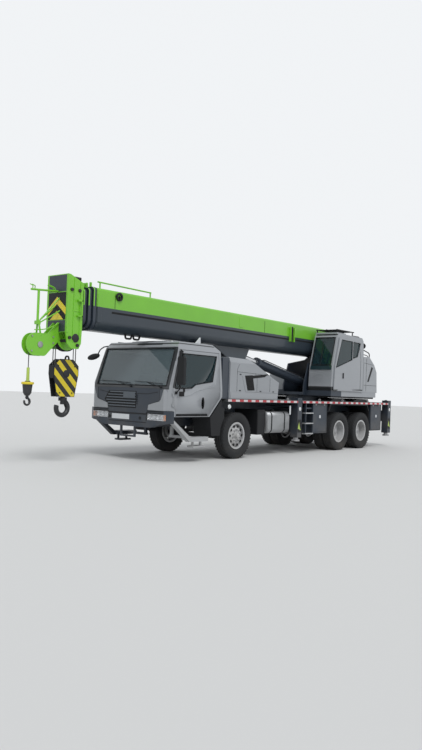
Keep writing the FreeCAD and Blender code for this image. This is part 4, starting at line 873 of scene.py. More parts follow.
class MakeScreenTrim(bpy.types.Operator):
    """Adds the windscreen's rubber, the wipers and the roof's hatch and intake"""
    bl_idname = "crane.make_screen_trim"
    bl_label = "Windscreen and roof"

    def execute(self, context):
        corners = ((-1.078, 1.637), (1.078, 1.637), (1.058, 2.443), (-1.058, 2.443))
        rubber = loop_pipe([screen_face(y, z, 0.004) for y, z in corners], 0.012)
        finish(rubber, "screen_rubber", "rubber trim and painted shade", "carrier")
        wipers = []
        for pivot, tip, blade in ((0.05, -0.42, (-0.98, 0.02)), (0.95, 0.50, (0.12, 0.98))):
            wipers.append(pipe(bend([screen_face(pivot, 1.60, 0.01), screen_face(pivot, 1.60, 0.035),
                                     screen_face(tip, 1.70, 0.03)], 0.03), 0.008))
            wipers.append(pipe([screen_face(blade[0], 1.715, 0.022), screen_face(tip, 1.70, 0.028),
                                screen_face(blade[1], 1.672, 0.022)], 0.007))
            wipers.append(round_cap(0.02, 0.035, 0.012, 0.045, screen_face(pivot, 1.60), (0.95, 0, 0.3), 16))
        finish(joined(wipers), "wipers", "black plastic", "carrier")
        hatch = boxes(((1.10, 1.85, -0.55, 0.55, 2.60, 2.632), (1.16, 1.79, -0.49, 0.49, 2.632, 2.645)),
                      0.012)
        rims = boxes(((0.92, 1.98, 0.86, 0.885, 2.60, 2.622), (0.92, 1.98, -0.885, -0.86, 2.60, 2.622)),
                     0.006)
        finish(joined([hatch, rims]), "roof_hatch", "grey paint", "carrier")
        slope = [put(x, y, z) for x, y, z in ((2.073, -0.15, 2.535), (2.073, 0.63, 2.535),
                                              (2.046, 0.63, 2.568),
                                              (2.046, -0.15, 2.568))]
        finish(slab(slope, -0.006, 0.002), "roof_intake", "black plastic", "carrier")
        fin = slab(side_points(((1.23, 2.598), (1.02, 2.598), (1.03, 2.765), (1.055, 2.765)), 0.80), 0.028,
                   0.006)
        bump = turned(((0, 0), (0.035, 0), (0.032, 0.018), (0.015, 0.03), (0, 0.032)), put(1.86, 0.72, 2.60),
                      (0, 0, 1), 20)
        finish(joined([fin, bump]), "roof_aerial", "light plate", "carrier")
        return {"FINISHED"}


class MakeDoorTrim(bpy.types.Operator):
    """Adds the window rubber, handle, crease and rubbing strip of each driver's door, and the right mirror"""
    bl_idname = "crane.make_door_trim"
    bl_label = "Driver's doors and mirrors"

    def kerb_mirror(self):
        """The right-hand mirror: a long tilted bowl, its glass and its arm from the roof's corner."""
        centre = put(2.30, -1.343, 2.262)
        along = Vector((0.55, -0.755, -0.30)).normalized()
        out = along.cross(Vector((0, 0, 1))).normalized()
        up = out.cross(along)
        turn = Matrix((along, out, up)).transposed().to_4x4()
        bowl = turned(((0, -0.036), (0.30, -0.034), (0.62, -0.026), (0.88, -0.010), (0.985, 0.006),
                       (1.0, 0.018),
                       (0.985, 0.026), (0.93, 0.026), (0.90, 0.018), (0, 0.018)), (0, 0, 0), (0, 1, 0), 32)
        pane = square_ring(0, 0.90, 0.017, 0.021, (0, 0, 0), (0, 1, 0), 32)
        for piece, name, colour in ((bowl, "bowl", "black plastic"), (pane, "glass", "mirror glass")):
            choose(piece)
            bpy.ops.transform.resize(value=(0.150, 1, 0.070), center_override=(0, 0, 0))
            freeze()
            piece.matrix_world = Matrix.Translation(centre) @ turn
            piece = freeze()
            if name == "bowl":
                arm = pipe(bend([put(2.06, -1.08, 2.52), put(2.13, -1.185, 2.50), put(2.20, -1.235, 2.43),
                                 put(2.245, -1.265, 2.31)], 0.03), 0.014)
                piece = joined([piece, arm])
            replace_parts(finish(piece, f"mirror_right_{name}", colour, "carrier"), "mirror_right")

    def execute(self, context):
        rubber = loop_pipe(side_points(DOOR_WINDOW, door_face), 0.011)
        bar = pipe(side_points(((1.93, 2.34), (2.07, 1.63)), lambda z: door_face(z) - 0.004), 0.012)
        spot = put(1.31, BODY_SIDE, 1.29)
        dish = ((0, -0.004), (0.078, -0.004), (0.082, 0.002), (0.074, 0.006), (0.064, 0.0), (0, 0.0))
        recess = turned(dish, spot, (0, 1, 0), 28)
        choose(recess)
        bpy.ops.transform.resize(value=(0.62, 1, 1.6), center_override=spot)
        recess = freeze()
        grip = pipe(bend([put(1.31, 1.198, 1.385), put(1.31, 1.218, 1.36), put(1.31, 1.218, 1.22),
                          put(1.31, 1.198, 1.195)], 0.03), 0.013)
        catch = boxes(((1.945, 2.10, 1.196, 1.214, 1.43, 1.53), (1.92, 1.985, 1.198, 1.212, 1.52, 1.60)),
                      0.006)
        strip = boxes(((1.15, 2.18, 1.198, 1.211, 1.03, 1.055), (1.15, 2.18, 1.198, 1.207, 1.012, 1.028)),
                      0.004)
        dark = joined([rubber, bar, recess, grip, catch, strip])
        crease = pipe(bend([put(2.14, 1.198, 1.40), put(1.72, 1.198, 1.46), put(1.52, 1.198, 1.555),
                            put(1.05, 1.196, 1.635), put(0.90, 1.190, 1.74)], 0.06), 0.008)
        for trim, name, colour in ((dark, "rubber", "rubber trim and painted shade"), (crease, "crease", "grey paint")):
            other = twin(trim)
            finish(trim, f"door_{name}_left", colour, "door_left")
            finish(other, f"door_{name}_right", colour, "door_right")
        finish(boxes(((2.210, 2.2145, 1.305, 1.462, 1.70, 2.08), (2.210, 2.2145, 1.305, 1.462, 2.10, 2.225))),
               "mirror_glass_left", "mirror glass", "door_left")
        self.kerb_mirror()
        return {"FINISHED"}


class MakeLamps(bpy.types.Operator):
    """Replaces the plain lamps by reflectors behind lenses, and adds the marker lamps and plates"""
    bl_idname = "crane.make_lamps"
    bl_label = "Lamps and plates"

    def cluster(self, side, label):
        """A head lamp: its tray, three bowls with bulbs, an amber corner and a clear front."""
        height = 0.966
        tray = boxes(((2.381, 2.386, 0.603, 1.137, 0.898, 1.032), (2.386, 2.430, 0.603, 0.608, 0.898, 1.032),
                      (2.386, 2.430, 0.603, 1.137, 1.027, 1.032), (2.386, 2.430, 0.603, 1.137, 0.898, 0.903)),
                     0.002)
        bowls = [turned(((0.0, 0.004), (0.018, 0.006), (0.036, 0.016), (radius, 0.036),
                         (radius + 0.004, 0.036),
                         (radius + 0.004, 0.0), (0, 0.0)), put(2.386, y, height), (1, 0, 0), 24)
                 for y, radius in ((0.675, 0.052), (0.80, 0.052), (0.925, 0.046))]
        bulbs = [round_stud(0.012, 0.018, 0.024, put(2.39, y, height), (1, 0, 0), 12)
                 for y in (0.675, 0.80, 0.925)]
        bright = joined([tray, *bowls, *bulbs])
        amber = boxes(((2.388, 2.424, 1.065, 1.133, 0.906, 1.026),), 0.010)
        glass_front = boxes(((2.427, 2.434, 0.602, 1.138, 0.897, 1.033),), 0.003)
        for piece, name, colour in ((bright, "bowls", "bright reflector"), (amber, "amber", "amber lens"),
                                    (glass_front, "lens", "clear lens")):
            lamp = finish(on_side(piece, side), f"head_lamp_{name}_{label}", colour, "carrier")
            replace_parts(lamp, "lamps")

    def execute(self, context):
        for label, side in SIDES:
            self.cluster(side, label)
            for name, colour, x0, x1, y0, y1, z0, z1 in (
                    ("shell", "slate paint", -8.176, -8.160, 0.56, 0.80, 0.93, 1.04),
                    ("red", "red lens", -8.192, -8.172, 0.565, 0.675, 0.936, 1.034),
                    ("amber", "amber lens", -8.192, -8.172, 0.68, 0.735, 0.936, 1.034),
                    ("clear", "clear lens", -8.192, -8.172, 0.74, 0.795, 0.936, 1.034)):
                piece = boxes(((x0, x1, *sorted((side * y0, side * y1)), z0, z1),), 0.004)
                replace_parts(finish(piece, f"tail_lamp_{name}_{label}", colour, "carrier"), "lamps")
        lips = boxes(((2.425, 2.452, 0.60, 1.09, 1.046, 1.062), (2.425, 2.450, 0.60, 1.09, 1.080, 1.098),
                      (2.425, 2.448, 0.585, 0.600, 0.885, 1.062)), 0.005)
        finish(both_sides(lips), "lamp_lips", "black plastic", "carrier")
        for name, row in (("number_plate_blank", (2.4395, 2.4445, -0.48, 0.07, 0.885, 0.995)),
                          ("rear_plate_blank", (-8.206, -8.200, -0.26, 0.26, 1.345, 1.395))):
            finish(boxes((row,), 0.002), name, "light plate", "carrier")
        marker = turned(((0, 0), (0.052, 0), (0.055, 0.012), (0.042, 0.026), (0, 0.032)),
                        put(0.39, 1.216, 1.22),
                        (0, 1, 0), 24)
        finish(both_sides(marker), "marker_lamps", "lamp glass", "carrier")
        return {"FINISHED"}


class MakeGrille(bpy.types.Operator):
    """Adds slats over a sheet of painted shade, seams and edges to the cab's front, the bumper and its step
    frame
    """
    bl_idname = "crane.make_grille"
    bl_label = "Grille and bumper"

    def execute(self, context):
        # A near-black sheet behind the slats: painted shade of the grille's recess.
        ground = [put(2.4405, y, z) for y, z in ((-0.60, 1.505), (0.27, 1.505), (0.27, 1.135), (-0.61, 1.135),
                                                 (-0.74, 1.31))]
        finish(slab(ground, -0.003, 0.001), "grille_painted_shade", "rubber trim and painted shade", "carrier")
        slats = boxes([(2.442, 2.456, left, 0.255, z, z + 0.027) for left, z in (
            (-0.56, 1.462), (-0.62, 1.402), (-0.67, 1.342), (-0.68, 1.282), (-0.625, 1.222), (-0.60, 1.162))],
                      0.006)
        blank = boxes(((2.442, 2.4575, -0.13, 0.235, 1.352, 1.478),), 0.008)
        finish(joined([slats, blank]), "grille_slats", "grille paint", "carrier")
        mask_front = 2.4415
        upright = ((0.62, 1.112), (0.64, 1.225), (0.965, 1.32), (0.965, 1.565))
        level = ((-0.90, 1.50), (-0.60, 1.455), (0.62, 1.455), (0.90, 1.50))
        seams = [pipe([put(mask_front, side * y, z) for y, z in upright], 0.005, 2) for side in (1, -1)]
        seams.append(pipe([put(mask_front, y, z) for y, z in level], 0.006, 2))
        finish(joined(seams), "mask_seams", "black plastic", "carrier")
        treads = boxes([(2.372, 2.418, -0.19 + k * 0.095, -0.11 + k * 0.095, 0.544, 0.549) for k in range(4)],
                       0.002)
        finish(treads, "bumper_step_grip", "bare steel", "carrier")
        lower = boxes(((2.436, 2.446, -0.58, 0.58, 1.010, 1.040), (2.436, 2.446, -0.58, 0.58, 0.835, 0.850)),
                      0.004)
        caps = [round_stud(0.035, 0.006, 0.008, put(2.4395, y, 0.93), (1, 0, 0), 20) for y in (0.40, -0.55)]
        finish(joined([lower, *caps]), "bumper_mouldings", "black plastic", "carrier")
        return {"FINISHED"}


class MakeBonnetTrim(bpy.types.Operator):
    """Adds the side vents, a painted shadow wedge, seams, handles and lower edge of the engine's cover"""
    bl_idname = "crane.make_bonnet_trim"
    bl_label = "Engine cover"

    def execute(self, context):
        sunk = BODY_SIDE - 0.001
        vent = plate(((-0.20, 1.96), (-0.51, 1.98), (-0.60, 1.62), (-0.32, 1.61)), sunk, 0.007)
        # The band is a dark sheet of painted shadow: the wedge of shade under the slanted panel above it.
        band = plate(((-0.46, 1.965), (-1.16, 2.035), (-1.02, 1.955), (-0.50, 1.90)), sunk, 0.006)
        ends = [(-0.25 - (1.90 - z) * 0.38, z) for z in (1.65, 1.71, 1.77, 1.83, 1.89)]
        slats = boxes([(end - 0.24, end, BODY_SIDE, BODY_SIDE + 0.014, z, z + 0.012) for end, z in ends],
                      0.003)
        finish(both_sides(joined([vent, band, slats])), "bonnet_vents_and_painted_shadow", "rubber trim and painted shade", "carrier")
        lip = pipe(side_points(((-0.10, 1.95), (-0.245, 1.585), (-1.60, 1.575)), BODY_SIDE), 0.009, 2)
        skirt = plate(((0.33, 1.405), (-1.50, 1.405), (-1.62, 1.555), (0.33, 1.555)), sunk, 0.010, 0.003)
        finish(both_sides(joined([lip, skirt])), "bonnet_skirt", "grey paint", "carrier")
        seams = [pipe(side_points(line, BODY_SIDE), 0.0035, 2) for line in (
            ((0.10, 1.58), (0.10, 2.10), (0.02, 2.22)), ((0.10, 2.04), (-0.28, 2.03), (-1.20, 2.00)),
            ((-0.70, 1.59), (-0.70, 1.90), (-0.62, 2.03)), ((-1.25, 1.59), (-1.25, 1.93)))]
        seams.append(pipe([put(0.10, 1.18, 2.285), put(0.10, 1.13, 2.355), put(0.10, 0, 2.366)], 0.004, 2))
        finish(both_sides(joined(seams)), "bonnet_seams", "rubber trim and painted shade", "carrier")
        locks = boxes([(x - 0.03, x + 0.03, BODY_SIDE, BODY_SIDE + 0.009, z - 0.012, z + 0.012)
                       for x, z in ((-0.02, 1.60), (-0.85, 1.60), (-1.40, 1.60), (-0.02, 1.98))], 0.003)
        finish(both_sides(locks), "bonnet_locks", "black plastic", "carrier")
        louvres = boxes([(-0.30 + k * 0.05, -0.275 + k * 0.05, -0.45, 0.45, 2.352, 2.372) for k in range(9)],
                        0.004)
        finish(louvres, "bonnet_louvres", "black plastic", "carrier")
        return {"FINISHED"}


class MakeDeckTrim(bpy.types.Operator):
    """Adds the edge tape, ties, straps, caps, latches and hoses along the deck"""
    bl_idname = "crane.make_deck_trim"
    bl_label = "Deck, tanks and lockers"

    def execute(self, context):
        for label, side in SIDES:
            front, rear = STAND_X[label]
            runs = ((front + 0.12, 0.475), (rear + 0.12, front - 0.12))
            tape = boxes([(x0, x1, *sorted((side * 1.249, side * 1.2535)), 1.339, 1.389) for x0, x1 in runs],
                         0.001)
            finish(tape, f"edge_tape_{label}", "edge tape", "carrier")
            ties = [square_ring(0.022, 0.034, -0.006, 0.006, put(x, side * 1.19, 1.428), (0.4, 1, 0), 20)
                    for x in (-2.1, -3.7, -5.0, -6.6)]
            finish(joined(ties), f"deck_ties_{label}", "bare steel", "carrier")
        section = ((0.45, 0.561), (1.085, 0.561), (1.14, 0.576), (1.19, 0.62), (1.205, 0.68), (1.205, 0.995),
                   (1.19, 1.055), (1.14, 1.10), (1.085, 1.114), (0.45, 1.114))
        straps = [slab([put(x, y, z) for y, z in section], 0.05, 0.003) for x in (-1.99, -1.41)]
        finish(both_sides(joined(straps)), "tank_straps", "black plastic", "carrier")
        cap = turned(((0, 0), (0.05, 0), (0.055, 0.01), (0.055, 0.045), (0.04, 0.055), (0, 0.055)),
                     put(-1.70, 0.98, 1.108), (0, 0, 1), 24)
        finish(both_sides(cap), "tank_caps", "black plastic", "carrier")
        doors = [loop_pipe(side_points(((x0, z0), (x1, z0), (x1, z1), (x0, z1)), face), 0.005)
                 for x0, x1, z0, z1, face in ((-4.08, -3.375, 0.55, 1.30, BODY_SIDE),
                                              (-7.49, -6.82, 0.55, 1.30, BODY_SIDE),
                                              (-1.13, -0.85, 0.57, 1.12, 1.15))]
        finish(both_sides(joined(doors)), "locker_seams", "rubber trim and painted shade", "carrier")
        proud = BODY_SIDE + 0.012
        latches = boxes([(x, x + 0.08, BODY_SIDE, proud, 0.93, 1.01) for x in (-3.76, -7.20)], 0.006)
        finish(both_sides(latches), "locker_latches", "light plate", "carrier")
        hinges = boxes([(x - 0.04, x + 0.04, BODY_SIDE, proud, 1.285, 1.31)
                        for x in (-3.95, -3.50, -7.36, -6.95)],
                       0.004)
        finish(both_sides(hinges), "locker_hinges", "bare steel", "carrier")
        reflector = boxes(((-2.25, -2.19, 1.185, 1.20, 1.03, 1.26),), 0.003)
        bracket = boxes(((-2.255, -2.185, 0.44, 1.185, 1.23, 1.27),), 0.004)
        finish(both_sides(reflector), "side_reflector", "light plate", "carrier")
        finish(both_sides(bracket), "side_reflector_arm", "slate paint", "carrier")
        hoses = []
        for k, z in enumerate((0.95, 0.90, 0.85, 0.80)):
            step = k * 0.02
            by_stand = [put(-2.18, 0.47 + step, z), put(-2.45, 0.52 + step, z - 0.05),
                        put(-2.75, 0.47 + step, z - 0.02)]
            by_engine = [put(0.42 - k * 0.03, 0.47 + k * 0.01, z + 0.1), put(0.20, 0.50 + step, z + 0.16),
                         put(-0.45, 0.50 + step, z + 0.12), put(-0.84, 0.47, z + 0.02)]
            hoses += [pipe(bend(by_stand, 0.2), 0.014), pipe(bend(by_engine, 0.2), 0.012)]
        finish(both_sides(joined(hoses)), "frame_hoses", "rubber trim and painted shade", "carrier")
        shell = ((0, 0), (0.05, 0), (0.08, 0.02), (0.08, 0.08), (0.086, 0.085), (0.08, 0.09), (0.08, 0.15),
                 (0.05, 0.17), (0, 0.17))
        cans = [turned(shell, put(x, 0.52, 0.66), (1, 0, 0), 24) for x in (-4.30, -5.66)]
        finish(both_sides(joined(cans)), "brake_cans", "cast iron", "carrier")
        flaps = boxes(((-6.635, -6.625, 0.62, 1.22, 0.42, 1.15), (-4.115, -4.108, 0.62, 1.18, 0.50, 0.54)),
                      0.003)
        finish(both_sides(flaps), "mud_flaps", "rubber trim and painted shade", "carrier")
        arches = []
        for x in (-4.85, -6.20):
            rows = [(x - 0.44 * math.cos(step * math.pi / 10), 1.396 + 0.102 * math.sin(step * math.pi / 10))
                    for step in range(11)]
            arches.append(plate(rows, 0.74, 0.41, 0.004))
        finish(both_sides(joined(arches)), "wheel_arch_tops", "black plastic", "carrier")
        pad = boxes(((0.435, 0.565, -0.29, 0.29, 2.670, 2.697),), 0.008)
        finish(pad, "boom_rest_rubber", "rubber trim and painted shade", "carrier")
        return {"FINISHED"}


class MakeStandTrim(bpy.types.Operator):
    """Adds the marks, lamp and hoses of each outrigger column and the rim of its foot"""
    bl_idname = "crane.make_stand_trim"
    bl_label = "Outriggers"

    def column(self, x, side, corner):
        """The trim of one outrigger column at its place along the crane."""
        mark = plate(((x - 0.07, 0.62), (x + 0.075, 0.66), (x + 0.02, 0.83), (x - 0.01, 0.72)), 1.2375, 0.003,
                     0.001)
        lamp = turned(((0, 0), (0.050, 0), (0.052, 0.006), (0.036, 0.011), (0, 0.012)),
                      put(x, 1.237, 1.18), (0, 1, 0), 20)
        board = plate(((x - 0.093, 0.56), (x + 0.093, 0.56), (x + 0.093, 0.90), (x - 0.093, 0.90)), 1.2368,
                      0.001, 0.0003)
        hose = pipe(bend(side_points(((x - 0.09, 1.468), (x - 0.09, 1.478), (x + 0.02, 1.478),
                                      (x + 0.09, 1.468)),
                                     1.10), 0.02), 0.009)
        seat = square_ring(0.068, 0.085, 0.425, 0.445, put(x, 1.132, 0), (0, 0, 1), 24)
        for piece, label, colour in ((mark, "mark", "mark paint"), (lamp, "lamp", "lamp glass"),
                                     (board, "board", "black plastic"),
                                     (joined([hose, seat]), "fittings", "rubber trim and painted shade")):
            finish(on_side(piece, side), f"stand_{label}_{corner}", colour, f"beam_{corner}")

    def execute(self, context):
        for number, end in enumerate(("front", "rear")):
            for label, side in SIDES:
                self.column(STAND_X[label][number], side, f"{end}_{label}")
        return {"FINISHED"}


class MakeOperatorCabTrim(bpy.types.Operator):
    """Adds the rubbers, handle, roof shade, rails and creases of the operator's cab"""
    bl_idname = "crane.make_operator_cab_trim"
    bl_label = "Operator's cab"

    def front(self, y, z, proud=0.0):
        """A point on the operator's windscreen wall."""
        slope = (4.58 - 4.33) / (3.29 - 2.40)
        return put(-4.33 - slope * (z - 2.40) + proud, y, z)

    def execute(self, context):
        screen = ((0.505, 2.43), (1.14, 2.43), (1.14, 3.24), (0.505, 3.24))
        surround = [loop_pipe([self.front(y, z, 0.002) for y, z in screen], 0.014)]
        foot = slab([self.front(y, z, 0.001) for y, z in ((0.48, 2.30), (1.175, 2.30), (1.175, 2.42),
                                                          (0.48, 2.42))], -0.004, 0.001)
        finish(foot, "operator_screen_foot", "dark glass", "turntable")
        rear_window = side_points(((-5.54, 2.69), (-5.54, 3.18), (-5.99, 3.165), (-5.83, 2.76)), 1.197)
        surround.append(loop_pipe(rear_window, 0.010))
        wiper = pipe([self.front(0.82, 2.41, 0.02), self.front(0.80, 2.95, 0.03)], 0.008)
        blade = pipe([self.front(0.795, 2.62, 0.022), self.front(0.79, 3.15, 0.022)], 0.007)
        surround += [wiper, blade]
        finish(joined(surround), "operator_rubbers", "rubber trim and painted shade", "turntable")
        door_window = side_points(((-4.495, 2.37), (-4.795, 3.19), (-5.43, 3.18), (-5.43, 2.64)), 1.2295)
        rubber = loop_pipe(door_window, 0.009)
        handle = boxes(((-4.935, -4.88, 1.229, 1.250, 2.07, 2.23),), 0.010)
        finish(joined([rubber, handle]), "operator_door_trim", "rubber trim and painted shade", "operator_door")
        shade_slats = boxes([(-4.66 - k * 0.115, -4.60 - k * 0.115, 0.50, 1.15, 3.462, 3.474)
                             for k in range(9)], 0.003)
        frame_bars = boxes([(-5.62, -4.58, y, y + 0.03, 3.455, 3.482) for y in (0.48, 0.80, 1.14)], 0.004)
        legs = boxes([(x, x + 0.025, y, y + 0.025, 3.33, 3.46) for x in (-4.64, -5.55)
                      for y in (0.485, 1.14)], 0.003)
        lids = boxes(((-6.02, -5.66, 0.50, 1.14, 3.335, 3.382), (-4.66, -4.60, 0.50, 1.14, 3.33, 3.36)),
                     0.012)
        finish(joined([shade_slats, frame_bars, legs, lids]), "operator_roof_kit", "rubber trim and painted shade", "turntable")
        rail_places = (0.55, 1.12)
        hoop = ((-6.22, 2.76), (-6.22, 3.02), (-6.75, 2.92), (-6.75, 2.70))
        brace = ((-6.22, 2.87), (-6.62, 2.84), (-6.86, 2.64))
        rails = [pipe(bend(side_points(hoop, y), 0.08), 0.016) for y in rail_places]
        rails.append(pipe([put(-6.26, y, 3.01) for y in rail_places], 0.016))
        rails += [pipe(bend(side_points(brace, y), 0.06), 0.012) for y in rail_places]
        can = round_cap(0.055, 0.16, 0.03, 0.18, put(-6.36, 0.85, 2.80), (0, 0, 1), 24)
        disc = turned(((0, 0), (0.085, 0.0), (0.09, 0.012), (0.07, 0.03), (0, 0.038)), put(-6.34, 1.10, 3.12),
                      (1, 0.4, 0), 24)
        stalk = pipe([put(-6.14, 1.10, 3.14), put(-6.33, 1.10, 3.12)], 0.010)
        finish(joined([*rails, can, disc, stalk]), "operator_rails", "black plastic", "turntable")
        seams = [pipe(side_points(line, y), 0.004, 2) for line, y in (
            (((-5.52, 1.76), (-5.52, 3.25)), 1.196), (((-6.05, 1.73), (-6.05, 2.70), (-5.90, 3.20)), 1.196))]
        finish(joined(seams), "operator_cab_seams", "rubber trim and painted shade", "turntable")
        creases = [pipe(bend([self.front(y, z, 0.002) for y, z in line], 0.1), 0.006, 2) for line in (
            ((0.58, 2.12), (0.68, 2.17), (0.90, 2.17), (1.00, 2.12)), ((0.50, 2.24), (1.16, 2.24)),
            ((0.62, 2.06), (0.70, 2.10), (0.88, 2.10), (0.96, 2.06)))]
        finish(joined(creases), "operator_front_creases", "grey paint", "turntable")
        return {"FINISHED"}


class MakeUpperTrim(bpy.types.Operator):
    """Adds slits, seams, rails and hoses to the turntable, its housings and counterweight"""
    bl_idname = "crane.make_upper_trim"
    bl_label = "Turntable and housings"

    def execute(self, context):
        slit = plate(((-6.50, 2.03), (-6.60, 2.03), (-6.86, 2.47), (-6.76, 2.50)), BODY_SIDE, 0.005)
        low = plate(((-5.45, 1.735), (-5.45, 1.755), (-5.95, 1.775), (-6.20, 1.775), (-6.20, 1.735)), 1.1955,
                    0.005,
                    0.001)
        finish(joined([slit, low]), "housing_slits", "black plastic", "turntable")
        seams = [pipe(side_points(line, 1.201), 0.004, 2) for line in (
            ((-6.42, 1.74), (-6.42, 2.74)), ((-6.27, 2.60), (-6.86, 2.56)), ((-6.27, 1.92), (-7.12, 1.92)))]
        finish(joined(seams), "housing_seams", "rubber trim and painted shade", "turntable")
        trays = boxes(((-7.02, -5.62, 0.36, 1.16, 1.504, 1.553), (-5.62, -4.36, 0.74, 1.16, 1.504, 1.553)),
                      0.006)
        finish(both_sides(trays), "wing_trays", "black plastic", "turntable")
        grille = boxes([(-5.2 - 0.06 * k, -5.18 - 0.06 * k, -1.206, -1.198, 1.80, 2.12) for k in range(16)],
                       0.003)
        finish(grille, "housing_grille", "black plastic", "turntable")
        ridges = [pipe([put(-7.535, y, 1.62), put(-7.535, y, 2.24)], 0.006, 2) for y in (0.872, -0.872)]
        lugs = [square_ring(0.035, 0.06, -0.02, 0.02, put(-7.62, y, 2.29), (0, 1, 0), 20)
                for y in (0.55, -0.55)]
        finish(joined([*ridges, *lugs]), "counterweight_fittings", "slate paint", "turntable")
        bolt = round_stud(0.016, 0.014, 0.016, put(SLEW_X + 0.60, 0, 1.5), (0, 0, 1), 6)
        ring = round_copies(bolt, put(SLEW_X, 0, 1.5), "Z", 40)
        finish(ring, "ring_bolts", "bare steel", "carrier")
        hoses = []
        for k in range(4):
            y = 0.395 + k * 0.022
            hoses.append(pipe(bend([put(-4.62 - k * 0.03, y, 1.70), put(-4.35 - k * 0.02, y, 1.92),
                                    put(-4.55, y, 2.30), put(-4.95, y, 2.42)], 0.18), 0.011))
        finish(joined(hoses), "turntable_hoses", "rubber trim and painted shade", "turntable")
        pins = [round_cap(0.10, 0.02, 0.06, 0.03, put(x, side * 0.365, z), (0, side, 0), 24)
                for x, z in ((-5.0, 1.865), (-6.35, 2.95)) for side in (1, -1)]
        finish(joined(pins), "turntable_pin_caps", "bare steel", "turntable")
        return {"FINISHED"}


class MakeWinchRopes(bpy.types.Operator):
    """Winds the rope on both winch drums"""
    bl_idname = "crane.make_winch_ropes"
    bl_label = "Winch ropes"

    def execute(self, context):
        turns, half = 21, 0.285
        drum, valley, crest = 0.232, 0.236, 0.252
        profile = [(drum, -half)]
        for turn in range(turns):
            start = -half + turn * 2 * half / turns
            profile += [(valley, start + 0.001), (crest, start + 0.0136), (valley, start + 0.0262)]
        profile.append((drum, half))
        for name, x in (("main", -6.88), ("second", -6.08)):
            centre = put(x, 0, 2.08)
            coil = turned(profile, centre, (0, 1, 0), 40)
            hub = square_ring(0, 0.12, 0.315, 0.327, centre, (0, 1, 0), 24)
            finish(joined([coil, hub]), f"winch_rope_{name}", "wire rope", f"winch_{name}")
        return {"FINISHED"}


class MakeBoomTrim(bpy.types.Operator):
    """Adds the brackets, hose loops, seams and guides along the boom, and the cylinder's pipe"""
    bl_idname = "crane.make_boom_trim"
    bl_label = "Boom"

    def execute(self, context):
        side = BOOM_SIDE
        ring = square_ring(0.052, 0.088, 0, 0.035, put(3.10, side, 3.45), (0, 1, 0), 28)
        stop = boxes(((3.085, 3.115, side, side + 0.05, 3.37, 3.46),), 0.004)
        rear = boxes(((-3.54, -3.46, side, side + 0.045, 3.06, 3.13),
                      (-3.54, -3.46, side, side + 0.045, 3.24, 3.34),
                      (-3.52, -3.48, side, side + 0.06, 3.10, 3.46)), 0.005)
        finish(both_sides(joined([ring, stop, rear])), "boom_brackets", "black plastic", "boom_1")
        cheeks = boxes([(x, x + 0.022, side, side + 0.075, 3.04, 3.45) for x in (-3.605, -3.417)], 0.005)
        plates = boxes(((-1.25, -1.07, side - 0.002, side + 0.008, 3.22, 3.48),), 0.004)
        bands = boxes(((3.574, 3.674, side - 0.004, side + 0.014, 2.86, 3.45),), 0.006)
        finish(both_sides(joined([plates, bands])), "boom_plates", "boom paint", "boom_1")
        finish(both_sides(cheeks), "boom_cheeks", "green paint", "boom_1")
        seams = [pipe(side_points(((x, 3.49), (x, 3.19)), side + 0.001), 0.005, 2) for x in (3.20, -2.2)]
        strip = boxes(((-5.30, 3.28, side, side + 0.006, 3.085, 3.125),), 0.002)
        finish(both_sides(joined([*seams, strip])), "boom_seams", "rubber trim and painted shade", "boom_1")
        ties = [pipe(bend(side_points(((x, 2.708), (x - 0.01, 2.62), (x - 0.17, 2.62), (x - 0.19, 2.708)),
                                      0.16),
                          0.04), 0.022) for x in (2.74, 2.50)]
        finish(joined(ties), "boom_under_loops", "rubber trim and painted shade", "boom_1")
        for number in (2, 3, 4):
            front = 3.789 + (number - 2) * 0.1
            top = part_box(f"boom_section_{number}")[1][2]
            combs = boxes([(front - 0.055, front - 0.015, y, y + 0.045, top - 0.012, top + 0.095)
                           for y in (-0.19, -0.06, 0.02, 0.145)], 0.006)
            finish(combs, f"boom_comb_{number}", "green paint", f"boom_{number}")
        route = [put(-4.85, 0.10, 2.03), put(-4.7, 0.16, 2.02), put(-2.45, 0.16, 2.46),
                 put(-2.36, 0.09, 2.44)]
        tube = pipe(bend(route, 0.08), 0.013)
        valve = block(put(-4.80, -0.07, 2.00), put(-4.58, 0.07, 2.10), 0.008)
        finish(joined([tube, valve]), "cylinder_pipe", "cast iron", "luff_cylinder")
        return {"FINISHED"}


